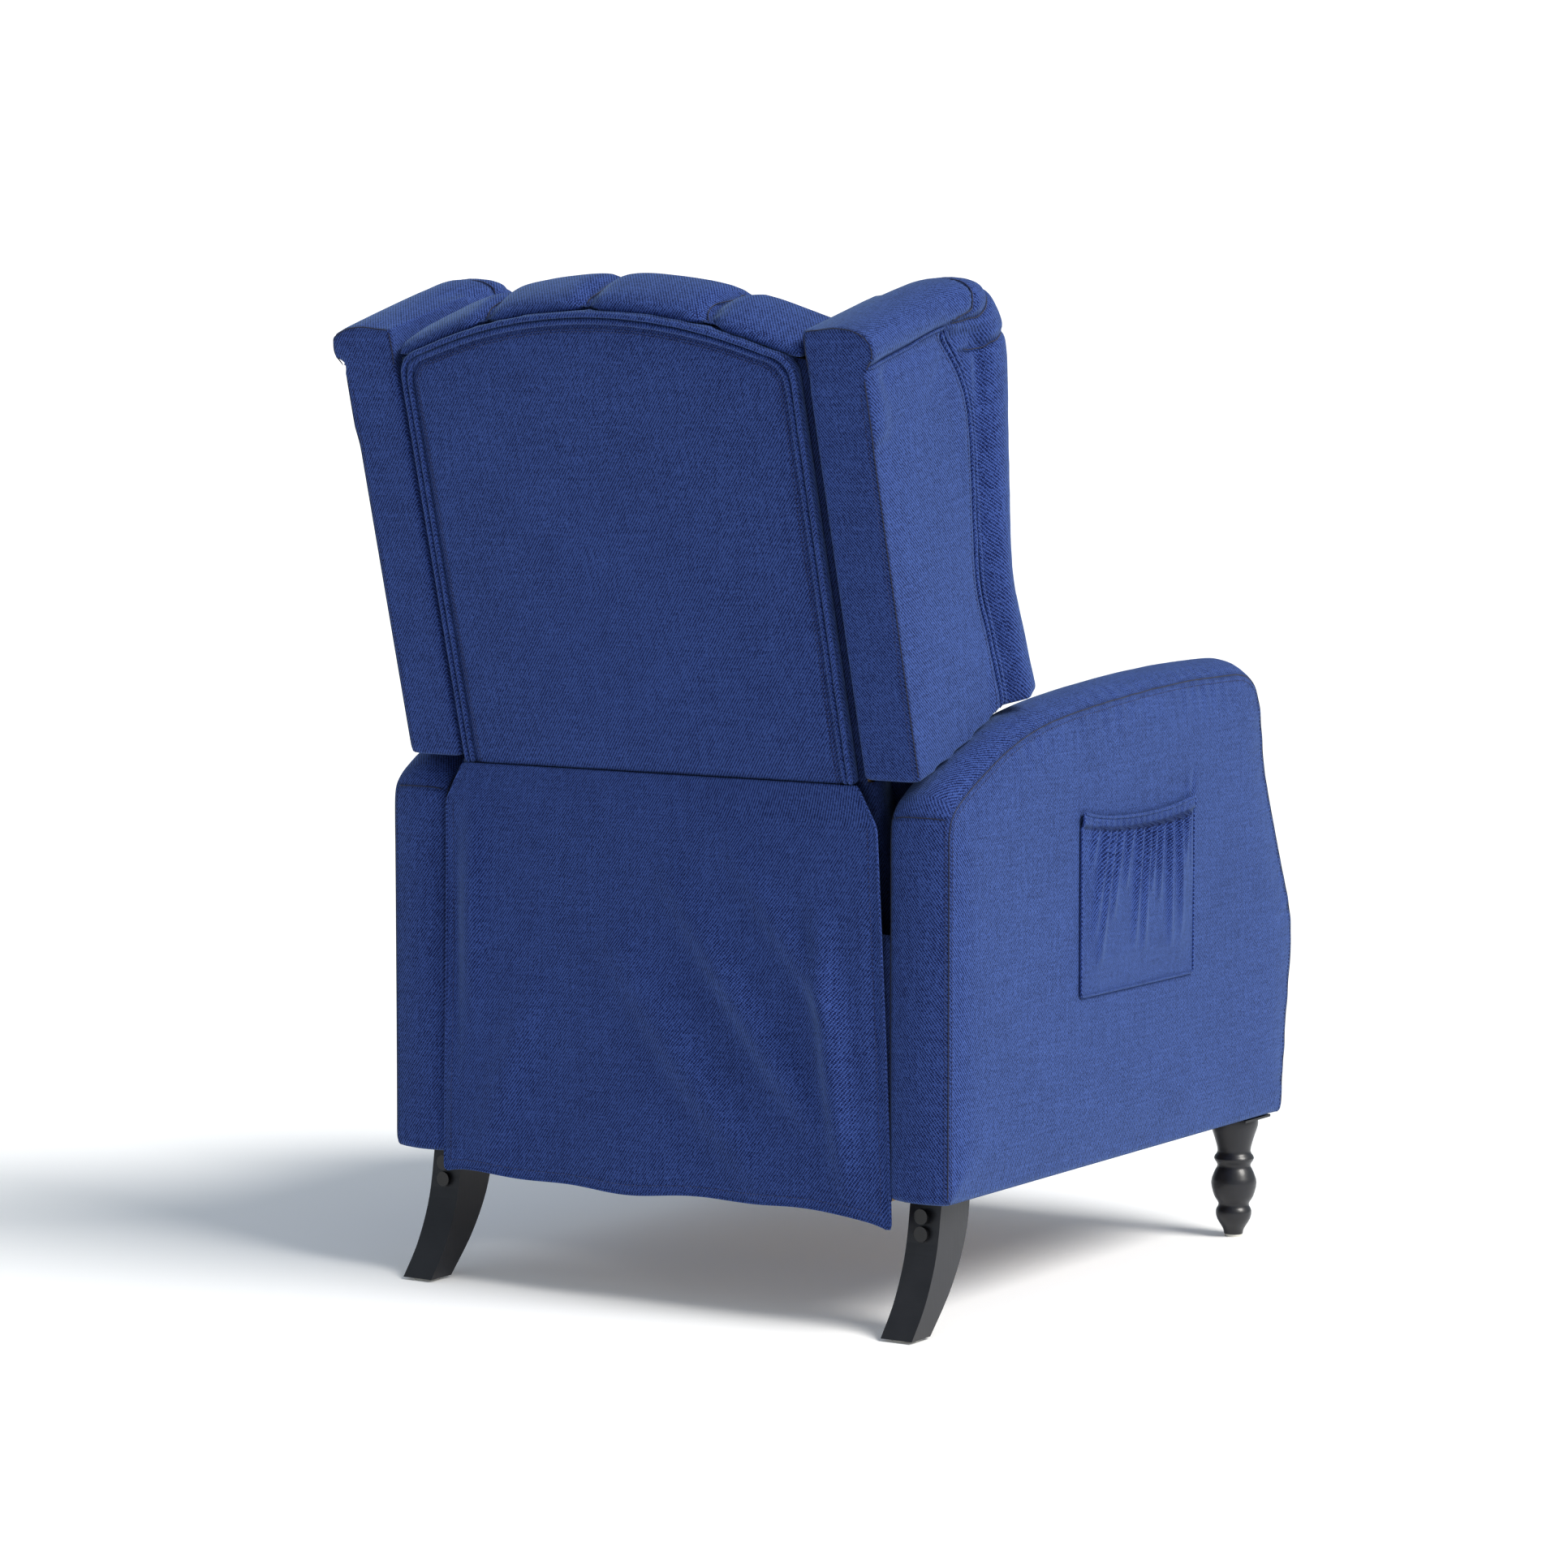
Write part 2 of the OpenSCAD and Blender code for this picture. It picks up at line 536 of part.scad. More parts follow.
drive_links();
rear_crank();  // left_rear_crank
right() rear_crank();  // right_rear_crank
front_crank();  // left_front_crank
right() front_crank();  // right_front_crank
coupler();  // left_coupler
right() coupler();  // right_coupler
steering_link();  // left_steering_link
right() steering_link();  // right_steering_link
footrest_brackets();
footrest_board();
footrest_pad();
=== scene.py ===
import json
import math
import bpy
import bmesh
import numpy as np
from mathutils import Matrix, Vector
from mathutils.bvhtree import BVHTree
from mathutils.kdtree import KDTree


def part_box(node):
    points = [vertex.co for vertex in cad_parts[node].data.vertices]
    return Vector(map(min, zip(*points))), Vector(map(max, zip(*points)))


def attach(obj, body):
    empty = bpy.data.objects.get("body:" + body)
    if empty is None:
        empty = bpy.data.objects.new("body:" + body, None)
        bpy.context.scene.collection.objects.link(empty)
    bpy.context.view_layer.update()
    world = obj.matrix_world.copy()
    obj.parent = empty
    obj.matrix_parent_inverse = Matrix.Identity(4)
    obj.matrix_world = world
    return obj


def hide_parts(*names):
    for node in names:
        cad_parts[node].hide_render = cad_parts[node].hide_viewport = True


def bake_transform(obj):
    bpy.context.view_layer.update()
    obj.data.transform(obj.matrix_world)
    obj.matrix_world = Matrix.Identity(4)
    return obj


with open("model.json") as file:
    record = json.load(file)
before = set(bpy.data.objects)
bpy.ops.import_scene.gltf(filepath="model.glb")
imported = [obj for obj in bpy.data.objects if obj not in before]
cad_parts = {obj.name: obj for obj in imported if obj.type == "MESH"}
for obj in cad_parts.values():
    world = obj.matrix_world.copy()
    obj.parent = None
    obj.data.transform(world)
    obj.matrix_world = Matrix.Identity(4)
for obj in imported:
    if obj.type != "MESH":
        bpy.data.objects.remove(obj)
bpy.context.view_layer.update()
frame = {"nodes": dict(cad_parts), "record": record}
scene = bpy.context.scene
cadNodes = frame["nodes"]
mm = 0.001

# Where the chair's main faces stand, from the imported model
chair = {"armDepth": 747 * mm, "armW": 75 * mm, "armH": 639 * mm, "lean": 14.75,
         "backFoot": (59 * mm, 330 * mm)}  # the back's foot, in from the rear and up
railLow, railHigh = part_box("rear_rail")
rearY = railHigh[1] + 5 * mm  # rear face of the arms
noseY = rearY - chair["armDepth"]
armIn, legH = railHigh[0], railLow[2]
halfW = armIn + chair["armW"]
armH = chair["armH"]
lean = math.radians(chair["lean"])
backFoot = (rearY - chair["backFoot"][0], chair["backFoot"][1])


def addObject(name, data):  # a new object in the scene
    obj = bpy.data.objects.new(name, data)
    scene.collection.objects.link(obj)
    return obj


def addNode(tree, kind, settings=None, inputs=None):  # settings first, then each socket's value or link
    made = tree.nodes.new(kind)
    for key, value in (settings or {}).items():
        setattr(made, key, value)
    for key, value in (inputs or {}).items():
        if isinstance(value, bpy.types.NodeSocket):
            tree.links.new(value, made.inputs[key])
        else:
            made.inputs[key].default_value = value
    return made


# ---- camera, light and floor
studio = {"camera": (-2.946, 4.622, 1.041), "target": (0.0423, 0.0100, 0.5230), "lens": 116.51,
          "sky": 0.36, "key": 3.0, "skyTint": (0.78, 0.89, 1.0, 1), "keyTint": (1.0, 0.97, 0.92),
          "keyFrom": (-0.72, 0.02, 0.69), "keySoft": 28, "floor": 60.0}


def makeStudio():
    camera = addObject("camera", bpy.data.cameras.new("camera"))
    camera.location = studio["camera"]
    camera.data.lens, camera.data.sensor_width = studio["lens"], 36
    aim = Vector(studio["target"]) - camera.location
    camera.rotation_euler = aim.to_track_quat("-Z", "Y").to_euler()
    scene.camera = camera
    sun = addObject("keyLight", bpy.data.lights.new("keyLight", "SUN"))
    sun.data.energy, sun.data.color = studio["key"], studio["keyTint"]
    sun.data.angle = math.radians(studio["keySoft"])
    sun.rotation_euler = Vector(studio["keyFrom"]).to_track_quat("Z", "Y").to_euler()
    world = bpy.data.worlds.new("softbox")
    scene.world = world
    world.use_nodes = True
    tree = world.node_tree
    # the camera sees a white backdrop, and the chair gets a softer light
    seen = addNode(tree, "ShaderNodeLightPath").outputs["Is Camera Ray"]
    level = addNode(tree, "ShaderNodeMix", None, {0: seen, 2: studio["sky"], 3: 1.0})
    tint = addNode(tree, "ShaderNodeMix", {"data_type": "RGBA"},
                   {0: seen, 6: studio["skyTint"], 7: (1, 1, 1, 1)})
    tree.links.new(tint.outputs[2], tree.nodes["Background"].inputs[0])
    tree.links.new(level.outputs[0], tree.nodes["Background"].inputs[1])
    scene.view_settings.view_transform = "Standard"
    scene.view_settings.look = "Medium High Contrast"


# ---- shader sums
class Num:  # a number socket that can stand in a Python sum
    def __init__(self, finish, out):
        self.finish, self.out = finish, out

    def calc(self, kind, *others):
        return self.finish.sum(kind, self, *others)

    def __add__(self, b): return self.calc("ADD", b)
    def __mul__(self, b): return self.calc("MULTIPLY", b)
    def __sub__(self, b): return self.calc("SUBTRACT", b)
    def __rsub__(self, b): return self.finish.sum("SUBTRACT", b, self)
    def __truediv__(self, b): return self.calc("DIVIDE", b)
    def clamp(self): return self.finish.sum("MULTIPLY", self, 1.0, clamp=True)
    __radd__, __rmul__ = __add__, __mul__


class Finish:  # one material and the nodes in it
    def __init__(self, name, **fixed):
        self.mat = bpy.data.materials.new(name)
        self.mat.use_nodes = True
        self.tree = self.mat.node_tree
        self.shader = self.tree.nodes["Principled BSDF"]
        for socket, value in fixed.items():
            self.shader.inputs[socket.replace("_", " ")].default_value = value

    def node(self, kind, settings=None, inputs=()):
        inputs = inputs if isinstance(inputs, dict) else dict(enumerate(inputs))
        plain = {key: value.out if isinstance(value, Num) else value for key, value in inputs.items()}
        return addNode(self.tree, kind, settings, plain)

    def sum(self, kind, *terms, clamp=False):
        return Num(self, self.node("ShaderNodeMath", {"operation": kind, "use_clamp": clamp},
                                   terms).outputs[0])

    def mix(self, share, a, b, how="MIX"):
        made = self.node("ShaderNodeMix", {"data_type": "RGBA", "blend_type": how, "clamp_factor": True},
                         {0: share, 6: a, 7: b})
        return made.outputs[2]

    def noise(self, vector, scale, detail=2.0, rough=0.5):
        made = self.node("ShaderNodeTexNoise", {}, {"Vector": vector, "Scale": scale, "Detail": detail,
                                                    "Roughness": rough})
        return Num(self, made.outputs["Fac"])

    def stretch(self, vector, by):
        return self.node("ShaderNodeMapping", {}, {"Vector": vector, "Scale": by}).outputs[0]

    def objectSpace(self):
        return self.node("ShaderNodeTexCoord").outputs["Object"]

    def finishWith(self, colour=None, rough=None, height=None, depth=0.0005, strength=0.5):
        if colour is not None:
            self.tree.links.new(colour, self.shader.inputs["Base Color"])
        if rough is not None:
            self.tree.links.new(rough.out, self.shader.inputs["Roughness"])
        if height is not None:
            bump = self.node("ShaderNodeBump", {},
                             {"Strength": strength, "Distance": depth, "Height": height})
            self.tree.links.new(bump.outputs[0], self.shader.inputs["Normal"])
        return self.mat


weave = {"thread": (1.1 * mm, 1.5 * mm), "deep": (0.003, 0.009, 0.062), "bright": (0.070, 0.126, 0.385),
         "depth": 0.35 * mm}


def makeCloth(name, shade=1.0):
    f = Finish(name, Roughness=0.86, Sheen_Weight=0.26, Sheen_Roughness=0.45,
               Sheen_Tint=(0.50, 0.72, 1.0, 1), Specular_IOR_Level=0.25)
    uv = f.node("ShaderNodeUVMap", {"uv_map": "cloth"}).outputs[0]
    split = f.node("ShaderNodeSeparateXYZ", {}, [uv])
    x, y = Num(f, split.outputs[0]) / weave["thread"][0], Num(f, split.outputs[1]) / weave["thread"][1]
    cellX, cellY = x.calc("FLOOR"), y.calc("FLOOR")
    inX, inY = x - cellX, y - cellY
    turn = (cellX + cellY + 3000).calc("FLOORED_MODULO", 3)  # the twill moves on by one thread a row
    warpUp = turn.calc("LESS_THAN", 1.5)
    acrossX = (inX * math.pi).calc("SINE")
    acrossY = (inY * math.pi).calc("SINE")
    warp = acrossX * (0.55 + 0.45 * acrossY)
    weft = acrossY * (0.55 + 0.45 * acrossX)
    height = warpUp * warp + (1 - warpUp) * weft
    cell = f.node("ShaderNodeCombineXYZ", {}, [cellX, cellY, 0.0]).outputs[0]
    speck = Num(f, f.node("ShaderNodeTexWhiteNoise", {"noise_dimensions": "2D"},
                          {"Vector": cell}).outputs[0])
    slub = f.noise(f.stretch(uv, (16, 340, 1)), 1.0, 2.0) + f.noise(f.stretch(uv, (340, 16, 1)), 1.0, 2.0)
    broad = f.noise(uv, 9.0, 3.0, 0.6)
    mottle = f.noise(uv, 330.0, 2.0)
    tone = (0.04 + 0.80 * (1 - warpUp) + 0.28 * height + 0.50 * (speck - 0.5) + 0.45 * (slub - 1.0)
            + 0.6 * (mottle - 0.5) + 0.2 * (broad - 0.5)).clamp()
    colour = f.mix(tone, (*[c * shade for c in weave["deep"]], 1),
                   (*[c * shade for c in weave["bright"]], 1))
    # painted shade: the colour darkens to dark navy where a point attribute is set, along sewn seams and
    # along the pocket hem
    paintedShade = Num(f, f.node("ShaderNodeAttribute", {"attribute_name": "paintedShade"}).outputs["Fac"])
    colour = f.mix(paintedShade * 0.6, colour, (0.004, 0.007, 0.028, 1))
    fuzz = f.noise(uv, 1400.0, 2.0)
    return f.finishWith(colour, height=height + 0.25 * fuzz + 0.3 * slub, depth=weave["depth"],
                        strength=0.55)


def makeThread(name, dark, light):
    f = Finish(name, Roughness=0.6, Sheen_Weight=0.2)
    twist = f.noise(f.stretch(f.objectSpace(), (900, 900, 900)), 1.0)
    return f.finishWith(f.mix(twist, dark, light), height=twist, depth=0.1 * mm)


def makeTimber():
    f = Finish("rawTimber", Specular_IOR_Level=0.3)
    place = f.objectSpace()
    grain = f.noise(f.stretch(place, (14, 90, 90)), 1.0, 4.0, 0.6)
    bands = f.node("ShaderNodeTexWave", {"bands_direction": "Z"}, {
        "Vector": f.stretch(place, (2.0, 26, 26)), "Scale": 1.0, "Distortion": 5.0, "Detail": 3.0})
    rings = Num(f, bands.outputs["Fac"])
    pores = f.noise(f.stretch(place, (60, 900, 900)), 1.0, 2.0)
    tone = (0.5 * grain + 0.35 * rings + 0.2 * pores).clamp()
    colour = f.mix(tone, (0.30, 0.175, 0.085, 1), (0.62, 0.44, 0.26, 1))
    return f.finishWith(colour, 0.62 + 0.2 * pores, grain + 0.4 * pores, 0.4 * mm, 0.4)


def makeLacquer():
    f = Finish("blackLacquer", Coat_Roughness=0.22, Specular_IOR_Level=0.5)
    place = f.objectSpace()
    grain = f.noise(f.stretch(place, (260, 260, 26)), 1.0, 3.0, 0.6)
    brush = f.noise(place, 38.0, 3.0)
    rub = f.noise(place, 16.0, 4.0, 0.65).calc("SMOOTH_MIN", 0.62, 0.1)
    colour = f.mix((brush * 0.55 + rub * 0.5).clamp(), (0.0085, 0.0085, 0.0105, 1),
                   (0.031, 0.031, 0.036, 1))
    f.shader.inputs["Coat Weight"].default_value = 0.35
    return f.finishWith(colour, 0.30 + 0.22 * brush, grain + 0.5 * brush, 0.25 * mm, 0.35)


def makeMetal(name, dark, light, rough, metal, scale=60.0):
    f = Finish(name, Metallic=metal)
    place = f.objectSpace()
    peel = f.noise(place, scale * 14, 2.0)
    wear = f.noise(place, scale * 0.5, 4.0, 0.65)
    colour = f.mix((0.7 * wear + 0.3 * peel).clamp(), (*dark, 1), (*light, 1))
    return f.finishWith(colour, rough + 0.22 * (wear - 0.5), peel + wear, 0.12 * mm, 0.3)


def makePlastic():
    f = Finish("palePlastic", Specular_IOR_Level=0.4)
    place = f.objectSpace()
    scuff = f.noise(f.stretch(place, (90, 90, 400)), 1.0, 4.0, 0.7)
    colour = f.mix(scuff, (0.50, 0.48, 0.43, 1), (0.78, 0.76, 0.71, 1))
    return f.finishWith(colour, 0.45 + 0.3 * scuff, scuff, 0.15 * mm, 0.4)


def makeFloorFinish():
    f = Finish("paleFloor", Roughness=0.9, Specular_IOR_Level=0.1, Emission_Strength=0.12,
               Emission_Color=(1, 1, 1, 1))
    cloud = f.noise(f.objectSpace(), 0.6, 2.0)
    return f.finishWith(f.mix(cloud, (0.90, 0.90, 0.90, 1), (0.93, 0.93, 0.93, 1)))


cloth = makeCloth("blueWeave")
liningCloth = makeCloth("blueWeaveShade", 0.55)
thread = makeThread("threadNavy", (0.005, 0.010, 0.05, 1), (0.024, 0.046, 0.19, 1))
seamShade = makeThread("seamShade", (0.002, 0.004, 0.02, 1), (0.006, 0.011, 0.05, 1))
timber = makeTimber()
lacquer = makeLacquer()
plastic = makePlastic()
satinSteel = makeMetal("satinBlackSteel", (0.012, 0.012, 0.014), (0.040, 0.040, 0.043), 0.42, 0.0)
glossSteel = makeMetal("glossBlackSteel", (0.006, 0.006, 0.007), (0.020, 0.020, 0.022), 0.18, 0.0)
zinc = makeMetal("zincPlate", (0.42, 0.41, 0.38), (0.70, 0.69, 0.66), 0.34, 1.0)
wireSteel = makeMetal("springWire", (0.16, 0.16, 0.17), (0.42, 0.41, 0.41), 0.36, 1.0)
print("finishes made")


# ---- mesh helpers
def onBack(x, v, u):  # v forward of the back's rear face, u up its slope
    return (x, backFoot[0] - v * math.cos(lean) + u * math.sin(lean),
            backFoot[1] + v * math.sin(lean) + u * math.cos(lean))


def toBack(co):  # x, v, u of points
    y, z = co[:, 1] - backFoot[0], co[:, 2] - backFoot[1]
    return np.stack([co[:, 0], z * math.sin(lean) - y * math.cos(lean),
                     y * math.sin(lean) + z * math.cos(lean)], 1)


def fromBack(local):
    return np.stack(onBack(local[:, 0], local[:, 1], local[:, 2]), 1)


def readVectors(items, field):
    flat = np.empty(len(items) * 3)
    items.foreach_get(field, flat)
    return flat.reshape(-1, 3)


def points(mesh):
    return readVectors(mesh.vertices, "co")


def vertexNormals(mesh):
    return readVectors(mesh.vertex_normals, "vector")


def setPoints(mesh, co):
    mesh.vertices.foreach_set("co", np.asarray(co, float).ravel())
    mesh.update()


def newObject(name, verts, faces, material=None):
    mesh = bpy.data.meshes.new(name)
    mesh.from_pydata([tuple(v) for v in verts], [], [tuple(f) for f in faces])
    mesh.update()
    if material:
        mesh.materials.append(material)
    mesh.shade_smooth()
    return addObject(name, mesh)


def faceOut(obj):
    bm = bmesh.new()
    bm.from_mesh(obj.data)
    bmesh.ops.recalc_face_normals(bm, faces=bm.faces)
    bm.to_mesh(obj.data)
    bm.free()
    return obj


def bell(gap, wide):  # 1 on a line, falling to nothing away from it
    return np.exp(-(gap / wide) ** 2)


def ramp(gap, wide):  # 0 to 1 over a width
    return np.clip(gap / wide, 0, 1)


def weld(names, stuffing=()):  # the CAD nodes named, copied into one mesh with their points merged
    bm = bmesh.new()
    for n in names:
        bm.from_mesh(cadNodes[n].data)
    bmesh.ops.remove_doubles(bm, verts=bm.verts, dist=1e-5)
    for corners in stuffing:  # blocks of wadding between them
        bmesh.ops.convex_hull(bm, input=[bm.verts.new(c) for c in corners])
    mesh = bpy.data.meshes.new("source")
    bm.to_mesh(mesh)
    bm.free()
    return mesh


def evaluated(obj):
    bpy.context.view_layer.update()
    return bpy.data.meshes.new_from_object(obj.evaluated_get(bpy.context.evaluated_depsgraph_get()))


def keepShape(obj):  # applies every modifier
    mesh = evaluated(obj)
    old = obj.data
    obj.modifiers.clear()
    obj.data = mesh
    bpy.data.meshes.remove(old)
    return obj


def voxelSkin(name, source, size, shrink=0.0, sloped=False):
    obj = addObject(name, source)
    if sloped:  # the voxels lie along the back's own slope, so that its flat faces stay flat
        setPoints(source, toBack(points(source)) * (1, -1, 1))
    mod = obj.modifiers.new("voxels", "REMESH")
    mod.mode, mod.voxel_size = "VOXEL", size
    keepShape(obj)
    relax = obj.modifiers.new("relax", "SMOOTH")
    relax.factor, relax.iterations = 0.5, 2
    keepShape(obj)
    co = points(obj.data) - vertexNormals(obj.data) * shrink
    setPoints(obj.data, fromBack(co * (1, -1, 1)) if sloped else co)
    obj.data.name = name
    return obj


def resample(path, step):
    path = np.asarray(path, float)
    runs = np.concatenate([[0], np.cumsum(np.linalg.norm(np.diff(path, axis=0), axis=1))])
    at = np.linspace(0, runs[-1], max(2, int(round(runs[-1] / step)) + 1))
    return np.stack([np.interp(at, runs, path[:, k]) for k in range(3)], 1)


def roundedPath(path, times=2):  # softens the corners of a path and keeps its ends
    path = np.asarray(path, float)
    for _ in range(times):
        path[1:-1] = 0.25 * path[:-2] + 0.5 * path[1:-1] + 0.25 * path[2:]
    return path


def nearest(paths):
    spots = [p for path in paths for p in path]
    tree = KDTree(len(spots))
    for i, p in enumerate(spots):
        tree.insert(p, i)
    tree.balance()
    return tree


def distances(co, paths):
    tree = nearest(paths)
    return np.array([tree.find(p)[2] for p in co])


def surfaceOf(obj):
    mesh = obj.data
    return BVHTree.FromPolygons([v.co.copy() for v in mesh.vertices],
                                [tuple(p.vertices) for p in mesh.polygons])


def laidOn(surface, path, lift=0.0, reach=0.05):  # a path moved onto a surface, and the normals there
    at, normal = [], []
    for p in path:
        hit, nn, _, _ = surface.find_nearest(Vector(p), reach)
        if hit is None:
            hit, nn = Vector(p), Vector((0, 0, 1))
        at.append(tuple(hit + nn * lift))
        normal.append(tuple(nn))
    return np.array(at), np.array(normal)


def boxUv(obj, slope=0.0):  # cloth map in metres, laid flat from the side each face looks to
    mesh = obj.data
    co = points(mesh)
    c, s = math.cos(slope), math.sin(slope)
    y = co[:, 1] * c - co[:, 2] * s
    z = co[:, 1] * s + co[:, 2] * c
    co = np.stack([co[:, 0], y, z], 1)
    n = readVectors(mesh.polygons, "normal")
    n = np.abs(np.stack([n[:, 0], n[:, 1] * c - n[:, 2] * s, n[:, 1] * s + n[:, 2] * c], 1))
    side = np.argmax(n, axis=1)
    total = np.empty(len(mesh.polygons), int)
    mesh.polygons.foreach_get("loop_total", total)
    corner = np.empty(len(mesh.loops), int)
    mesh.loops.foreach_get("vertex_index", corner)
    side = np.repeat(side, total)[:, None]
    p = co[corner]
    uv = np.where(side == 0, p[:, [1, 2]] * (-1, 1), np.where(side == 1, p[:, [0, 2]], p[:, [0, 1]]))
    layer = mesh.uv_layers.get("cloth") or mesh.uv_layers.new(name="cloth")
    layer.data.foreach_set("uv", uv.ravel())


# stores painted shade on the points, which the cloth colour reads
def setPaintedShade(obj, values):
    layer = obj.data.attributes.get("paintedShade") or obj.data.attributes.new("paintedShade", "FLOAT", "POINT")
    layer.data.foreach_set("value", np.asarray(values, np.float32))


def dress(obj, material, slope=None):
    if slope is not None:
        boxUv(obj, slope)
    obj.data.materials.clear()
    obj.data.materials.append(material)
    obj.data.shade_smooth()
    return obj


def tubes(name, paths, radius, sides=10, material=None):  # cords of cloth along the paths, one mesh
    verts, faces = [], []
    for path in paths:
        path = np.asarray(path, float)
        n = len(path)
        tangent = np.gradient(path, axis=0)
        tangent /= np.linalg.norm(tangent, axis=1)[:, None]
        up = np.cross(tangent[0], (0.3, 0.5, 0.81))
        base = len(verts)
        for i in range(n):
            up = up - tangent[i] * np.dot(up, tangent[i])
            up /= np.linalg.norm(up)
            side = np.cross(tangent[i], up)
            shrink = 0.15 if i in (0, n - 1) else (0.8 if i in (1, n - 2) else 1.0)
            for k in range(sides):
                a = 2 * math.pi * k / sides
                verts.append(path[i] + radius * shrink * (math.cos(a) * up + math.sin(a) * side))
        for i in range(n - 1):
            for k in range(sides):
                a, b = base + i * sides + k, base + i * sides + (k + 1) % sides
                faces.append((a, b, b + sides, a + sides))
        faces.append(tuple(base + k for k in range(sides))[::-1])
        faces.append(tuple(base + (n - 1) * sides + k for k in range(sides)))
    return faceOut(newObject(name, verts, faces, material))


def flipX(path):
    return np.asarray(path, float) * np.array([-1, 1, 1])


def mirrored(obj, name):
    mesh = obj.data.copy()
    mesh.name = name
    setPoints(mesh, flipX(points(mesh)))
    mesh.flip_normals()
    return addObject(name, mesh)


# ---- padding: pressure in a cloth skin that is held along its seams
def hold(obj, weights, pressure):
    group = obj.vertex_groups.new(name="held")
    for i in np.nonzero(weights > 0.02)[0]:
        group.add([int(i)], float(min(1.0, weights[i])), "REPLACE")
    mod = obj.modifiers.new("cloth", "CLOTH")
    s = mod.settings
    s.quality, s.mass, s.air_damping = 4, 0.3, 4.0
    s.tension_stiffness = s.compression_stiffness = 22
    s.shear_stiffness, s.bending_stiffness = 8, 1.2
    s.vertex_group_mass = "held"
    s.use_pressure, s.uniform_pressure_force = True, pressure
    s.effector_weights.gravity = 0
    mod.collision_settings.use_collision = False
    mod.point_cache.frame_start, mod.point_cache.frame_end = 1, 20
    return obj


def inflate(pads):  # pads: (object, most that a point may move, function that keeps it off its neighbours)
    before = [points(o.data) for o, _, _ in pads]
    for f in range(1, 21):
        scene.frame_set(f)
    for (obj, most, keepClear), rest in zip(pads, before):
        mesh = evaluated(obj)
        move = points(mesh) - rest
        far = np.linalg.norm(move, axis=1)[:, None] + 1e-9
        co = rest + move / far * most * np.tanh(far / most)
        bpy.data.meshes.remove(mesh)
        obj.modifiers.clear()
        obj.vertex_groups.clear()
        setPoints(obj.data, keepClear(co) if keepClear else co)
        fine = obj.modifiers.new("fine", "SUBSURF")
        fine.levels = fine.render_levels = 1
        keepShape(obj)
    scene.frame_set(1)


def sew(obj, seams):  # seams: (path, depth, width), a depth below nothing raises a crisp corner
    co, nn = points(obj.data), vertexNormals(obj.data)
    paintedShade, drop = np.zeros(len(co)), np.zeros(len(co))
    surface = surfaceOf(obj)
    for path, depth, width in seams:
        path, _ = laidOn(surface, resample(path, 2 * mm))
        away = distances(co, [path])
        push = depth * bell(away, width)
        drop = np.where(np.abs(push) > np.abs(drop), push, drop)
        # painted shade in a band about 3 mm wide along each seam, stored for the cloth colour
        paintedShade = np.maximum(paintedShade, 0.55 * bell(away, 3.2 * mm))
    setPoints(obj.data, co - nn * drop[:, None])
    setPaintedShade(obj, paintedShade)


def pucker(obj, path, size, pitch, reach):  # small waves that run out from a gathered seam
    co, nn = points(obj.data), vertexNormals(obj.data)
    path = resample(path, 2 * mm)
    tree = nearest([path])
    found = [tree.find(p) for p in co]
    along = np.array([f[1] for f in found]) * 2 * mm
    away = np.array([f[2] for f in found])
    wave = np.sin(2 * math.pi * along / pitch + 2.1 * np.sin(along / 0.05))
    wave = wave * (0.6 + 0.4 * np.sin(along / 0.031))
    push = size * wave * bell(away, reach) * np.minimum(away / (4 * mm), 1)
    setPoints(obj.data, co + nn * push[:, None])


def catmull(p, n):
    p = [np.asarray(q, float) for q in p]
    out = []
    for i in range(len(p) - 1):
        a, b, c, d = p[max(i - 1, 0)], p[i], p[i + 1], p[min(i + 2, len(p) - 1)]
        for j in range(n):
            t = j / n
            out.append(0.5 * (2 * b + (c - a) * t + (2 * a - 5 * b + 4 * c - d) * t * t
                              + (3 * b - a - 3 * c + d) * t ** 3))
    out.append(p[-1])
    return np.array(out)


makeStudio()
print("studio made")


# ---- arms
arm = {"voxel": 6.5 * mm, "pressure": 3.0, "most": 5.0 * mm, "stitchIn": 7 * mm}
armFront = [(22, 0), (12, 100), (0, 211), (27, 288), (68, 393), (77, 452), (89, 483), (113, 499),
            (160, 503), (311, 500), (511, 483), (612, 462), (694, 427), (733, 404)]


def armOutline():
    path = catmull([(noseY + y * mm, legH + z * mm) for y, z in armFront], 5)
    tail = [(rearY - 3 * mm, armH - 110 * mm), (rearY, armH - 132 * mm), (rearY, armH - 300 * mm),
            (rearY, legH)]
    return np.vstack([path, tail])


def atX(x, path):
    return np.array([(x, y, z) for y, z in path])


armPath = armOutline()
armSeamOut, armSeamIn = atX(halfW, armPath), atX(armIn, armPath)
rearSeamZ = armH - 108 * mm
armRearSeam = np.array([(x, rearY + 1 * mm, rearSeamZ) for x in np.linspace(armIn, halfW, 20)])
armNodes = ["left_arm_frame", "left_arm_outer_panel", "left_arm_inner_panel", "left_arm_band"]
leftArm = voxelSkin("leftArm", weld(armNodes), arm["voxel"], 1.0 * mm)
co = points(leftArm.data)
away = distances(co, [resample(seam, 3 * mm) for seam in (armSeamOut, armSeamIn, armRearSeam)])
inner = (co[:, 0] < armIn + 4 * mm) & (co[:, 2] < 0.36)
base = co[:, 2] < legH + 5 * mm
hold(leftArm, np.where(inner | base, 1.0, bell(away, 6 * mm)), arm["pressure"])


def armClear(co):
    co[:, 0] = np.maximum(co[:, 0], armIn - 1.5 * mm)
    co[:, 2] = np.maximum(co[:, 2], legH - 1 * mm)
    return co


